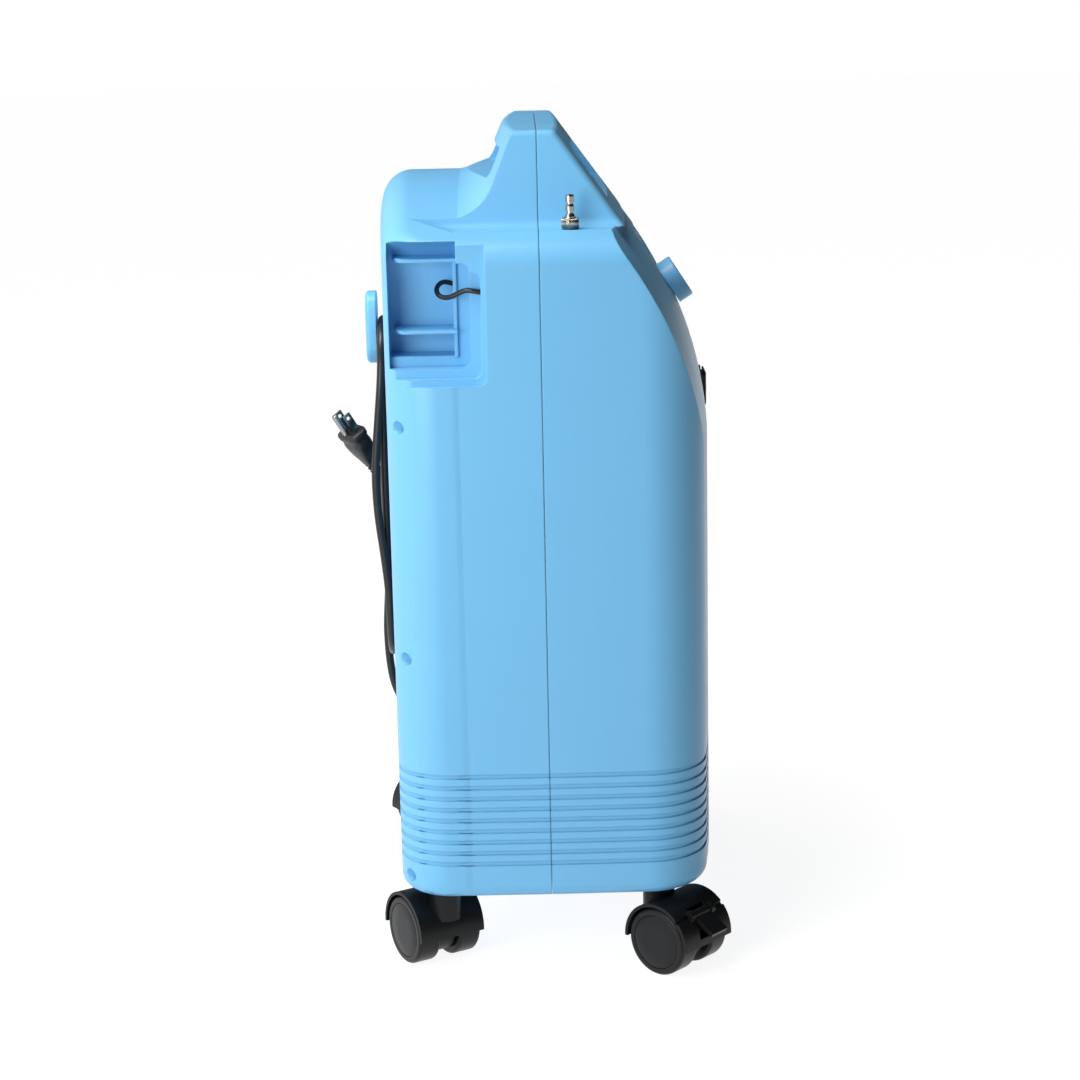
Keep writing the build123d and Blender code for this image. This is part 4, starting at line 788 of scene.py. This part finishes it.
whiteInk = moulded("whitePrintedInk", "#F1F4F6", 0.55, 0.5, 0.004, tint=0.02)
paleSegments = moulded("liquidCrystalSegment", "#93A79A", 0.4, 0.5, 0.002, tint=0.05)
for kind in ("long", "short"):
    ticks = tickRing(kind + "Ticks", flowScale[kind + "Count"], flowScale, flowScale[kind])
    coverPiece(ticks, "machine", "key_plastic")
for index, character in enumerate(flowScale["numerals"]):
    turn = math.radians(-flowScale["sweep"] / 2 + index * flowScale["sweep"] / (
        len(flowScale["numerals"]) - 1))
    radius = flowScale["numeralRadius"]
    written = numeral(
        character, radius * math.sin(turn), radius * math.cos(turn), flowScale["numeralHeight"])
    coverPiece(written, "machine", "key_plastic")

# seven-segment figures behind the window, and the marks on the rocker and knob
readout = {
    "figures": "30", "height": 10.5, "width": 5.6, "stroke": 1.15, "pitch": 9.0, "slant": 0.12,
    "gap": 0.18, "point": 0.75, "ink": 0.08,
}
litSegments = {"0": "abcdef", "3": "abcdg"}


def readoutMesh(sizes):
    h, w, t = sizes["height"] / 2, sizes["width"] / 2, sizes["stroke"] / 2
    gap, point = sizes["gap"], sizes["point"]
    bars = {
        "a": ((-w, h), (w, h)), "b": ((w, h), (w, 0)), "c": ((w, 0), (w, -h)), "d": ((-w, -h), (w, -h)),
        "e": ((-w, 0), (-w, -h)), "f": ((-w, h), (-w, 0)), "g": ((-w, 0), (w, 0)),
    }
    shape = bmesh.new()
    outlines = []
    for index, figure in enumerate(sizes["figures"]):
        offset = (index - (len(sizes["figures"]) - 1) / 2) * sizes["pitch"]
        for bar in litSegments[figure]:
            start, end = Vector(bars[bar][0]), Vector(bars[bar][1])
            way = (end - start).normalized()
            side = Vector((-way.y, way.x))
            corners = [
                start + way * gap, start + way * (gap + t) + side * t, end - way * (gap + t) + side * t,
                end - way * gap, end - way * (gap + t) - side * t, start + way * (gap + t) - side * t]
            outlines.append([(c.x + offset + sizes["slant"] * c.y, c.y) for c in corners])
    # decimal point between the figures
    outlines.append([
        (point * math.cos(k * math.pi / 4), -h + point * math.sin(k * math.pi / 4)) for k in range(8)])
    for outline in outlines:
        low = [shape.verts.new((x * mm, y * mm, 0)) for x, y in outline]
        high = [shape.verts.new((x * mm, y * mm, sizes["ink"] * mm)) for x, y in outline]
        shape.faces.new(low)
        shape.faces.new(list(reversed(high)))
        count = len(outline)
        for k in range(count):
            shape.faces.new((low[k], high[k], high[(k + 1) % count], low[(k + 1) % count]))
    bmesh.ops.recalc_face_normals(shape, faces=shape.faces)
    return addPiece("readoutFigures", meshFrom("readoutFigures", shape, False), paleSegments)


figures = fasciaPlace(readoutMesh(readout), 0, fascia["displayRise"], fascia["windowOut"])
coverPiece(figures, "machine", "lcd_glass")


def raisedBar(name, wide, long, high, material):
    # a low bar with its top edges broken
    shape = bmesh.new()
    bmesh.ops.create_cube(shape, size=1.0)
    for vertex in shape.verts:
        x, y, z = vertex.co
        vertex.co = Vector((x * wide * mm, y * long * mm, (z + 0.5) * high * mm))
    edges = [e for e in shape.edges if all(v.co.z > high * mm * 0.9 for v in e.verts)]
    bmesh.ops.bevel(shape, geom=edges, offset=high * 0.4 * mm, segments=2, affect="EDGES")
    bmesh.ops.recalc_face_normals(shape, faces=shape.faces)
    return addPiece(name, meshFrom(name, shape, False), material)


knobLine = {"wide": 1.2, "long": 2.7, "high": 0.25, "radius": 15.0, "out": 11.95}
indexLine = raisedBar("knobIndexLine", knobLine["wide"], knobLine["long"], knobLine["high"], whiteInk)
coverPiece(fasciaPlace(indexLine, 0, knobLine["radius"], knobLine["out"]), "knob", "key_plastic")

rockerMarks = {
    "bar": (0.8, 2.9), "ring": (1.0, 1.7), "high": 0.12,
    "onPlace": (124.094, 0, 403.122), "onOut": (0.992, 0, 0.125),
    "offPlace": (123.376, 0, 398.012), "offOut": (0.919, 0, -0.394),
}
onMark = raisedBar("rockerOnMark", *rockerMarks["bar"], rockerMarks["high"], whiteInk)
coverPiece(place(onMark, rockerMarks["onPlace"], (0, 1, 0), rockerMarks["onOut"]), "rocker", "key_plastic")
inner, outer = rockerMarks["ring"]
high = rockerMarks["high"]
offMark = lathe("rockerOffMark", [(inner, 0), (outer, 0), (outer, high), (inner, high), (inner, 0)])
offMark.data.materials.append(whiteInk)
coverPiece(place(offMark, rockerMarks["offPlace"], (0, 1, 0), rockerMarks["offOut"]), "rocker", "key_plastic")
print("scale, figures and marks")

studio = {
    "floorColour": "#F2F3F4",
    "floorHalf": 14,        # m
    "floorGlow": 0.9,       # seen directly, the floor is white by its own light
    "floorTakes": 0.3,      # and reflects this share, so that it still takes a faint shadow
    "aim": (0, 0, 0.32),
    # place, size in m, power in W; the key stands close by, so its light falls off across the flank
    "lamps": {
        "keySoftbox": {"place": (-0.5, -0.84, 0.52), "size": 0.45, "power": 4.1},
        "topSoftbox": {"place": (-0.55, -0.35, 1.7), "size": 0.7, "power": 17.0},
    },
    "skyBright": 1.0,       # diffuse light from the room, on the back side
    "skyDim": 0.05,         # and on the side in shade
    "skyFade": (-0.85, 0.08),       # from the one to the other, by the direction's x
}


def lightStudio(plan):
    floorMesh = bpy.data.meshes.new("studioFloor")
    half = plan["floorHalf"]
    floorMesh.from_pydata(
        [(-half, -half, 0), (half, -half, 0), (half, half, 0), (-half, half, 0)], [], [(0, 1, 2, 3)])
    floor = addPiece("studioFloor", floorMesh)
    material, tree, shader = startMaterial("whitePaperSweep", plan["floorColour"], 0.9)
    shader.inputs["Specular IOR Level"].default_value = 0.1
    seen = addNode(tree, "ShaderNodeLightPath")
    white = (1, 1, 1, 1)
    glow = addNode(tree, "ShaderNodeEmission", {"Color": white, "Strength": plan["floorGlow"]})
    faint = addNode(tree, "ShaderNodeBsdfDiffuse", {"Color": [plan["floorTakes"]] * 3 + [1]})
    both = addNode(tree, "ShaderNodeAddShader", links={0: faint.outputs["BSDF"], 1: glow.outputs["Emission"]})
    anyDirect = addNode(tree, "ShaderNodeMath", {"operation": "MAXIMUM"}, {
        0: seen.outputs["Is Camera Ray"], 1: seen.outputs["Is Glossy Ray"]})
    anySeen = addNode(tree, "ShaderNodeMath", {"operation": "MAXIMUM"}, {
        0: anyDirect.outputs[0], 1: seen.outputs["Is Transmission Ray"]})
    chosen = addNode(tree, "ShaderNodeMixShader", links={
        0: anySeen.outputs[0], 1: shader.outputs["BSDF"], 2: both.outputs["Shader"]})
    tree.links.new(chosen.outputs["Shader"], tree.nodes["Material Output"].inputs["Surface"])
    floorMesh.materials.append(material)

    for name, sizes in plan["lamps"].items():
        softbox = bpy.data.lights.new(name, "AREA")
        softbox.shape = "SQUARE"
        softbox.size = sizes["size"]
        softbox.energy = sizes["power"]
        lamp = bpy.data.objects.new(name, softbox)
        lamp.location = sizes["place"]
        aim = Vector(plan["aim"]) - Vector(sizes["place"])
        lamp.rotation_mode = "QUATERNION"
        lamp.rotation_quaternion = aim.to_track_quat("-Z", "Y")
        bpy.context.scene.collection.objects.link(lamp)

    world = bpy.data.worlds.new("whiteRoom")
    bpy.context.scene.world = world
    world.use_nodes = True
    tree = world.node_tree
    tree.nodes.clear()
    direction = addNode(tree, "ShaderNodeTexCoord").outputs["Generated"]
    split = addNode(tree, "ShaderNodeSeparateXYZ", links={"Vector": direction})
    fadeFrom, fadeTo = plan["skyFade"]
    shade = addNode(tree, "ShaderNodeMapRange", {
        "From Min": fadeFrom, "From Max": fadeTo, "To Min": plan["skyBright"], "To Max": plan["skyDim"],
        "interpolation_type": "SMOOTHSTEP"}, {"Value": split.outputs["X"]})
    room = addNode(tree, "ShaderNodeBackground", {"Color": white}, {"Strength": shade.outputs["Result"]})
    plain = addNode(tree, "ShaderNodeBackground", {"Color": white, "Strength": 1.0})
    seen = addNode(tree, "ShaderNodeLightPath")
    anySeen = addNode(tree, "ShaderNodeMath", {"operation": "MAXIMUM"}, {
        0: seen.outputs["Is Camera Ray"], 1: seen.outputs["Is Transmission Ray"]})
    chosen = addNode(tree, "ShaderNodeMixShader", links={
        0: anySeen.outputs[0], 1: room.outputs["Background"], 2: plain.outputs["Background"]})
    addNode(tree, "ShaderNodeOutputWorld", links={"Surface": chosen.outputs["Shader"]})
    bpy.context.scene.view_settings.view_transform = "Standard"


lightStudio(studio)
print("studio lit")
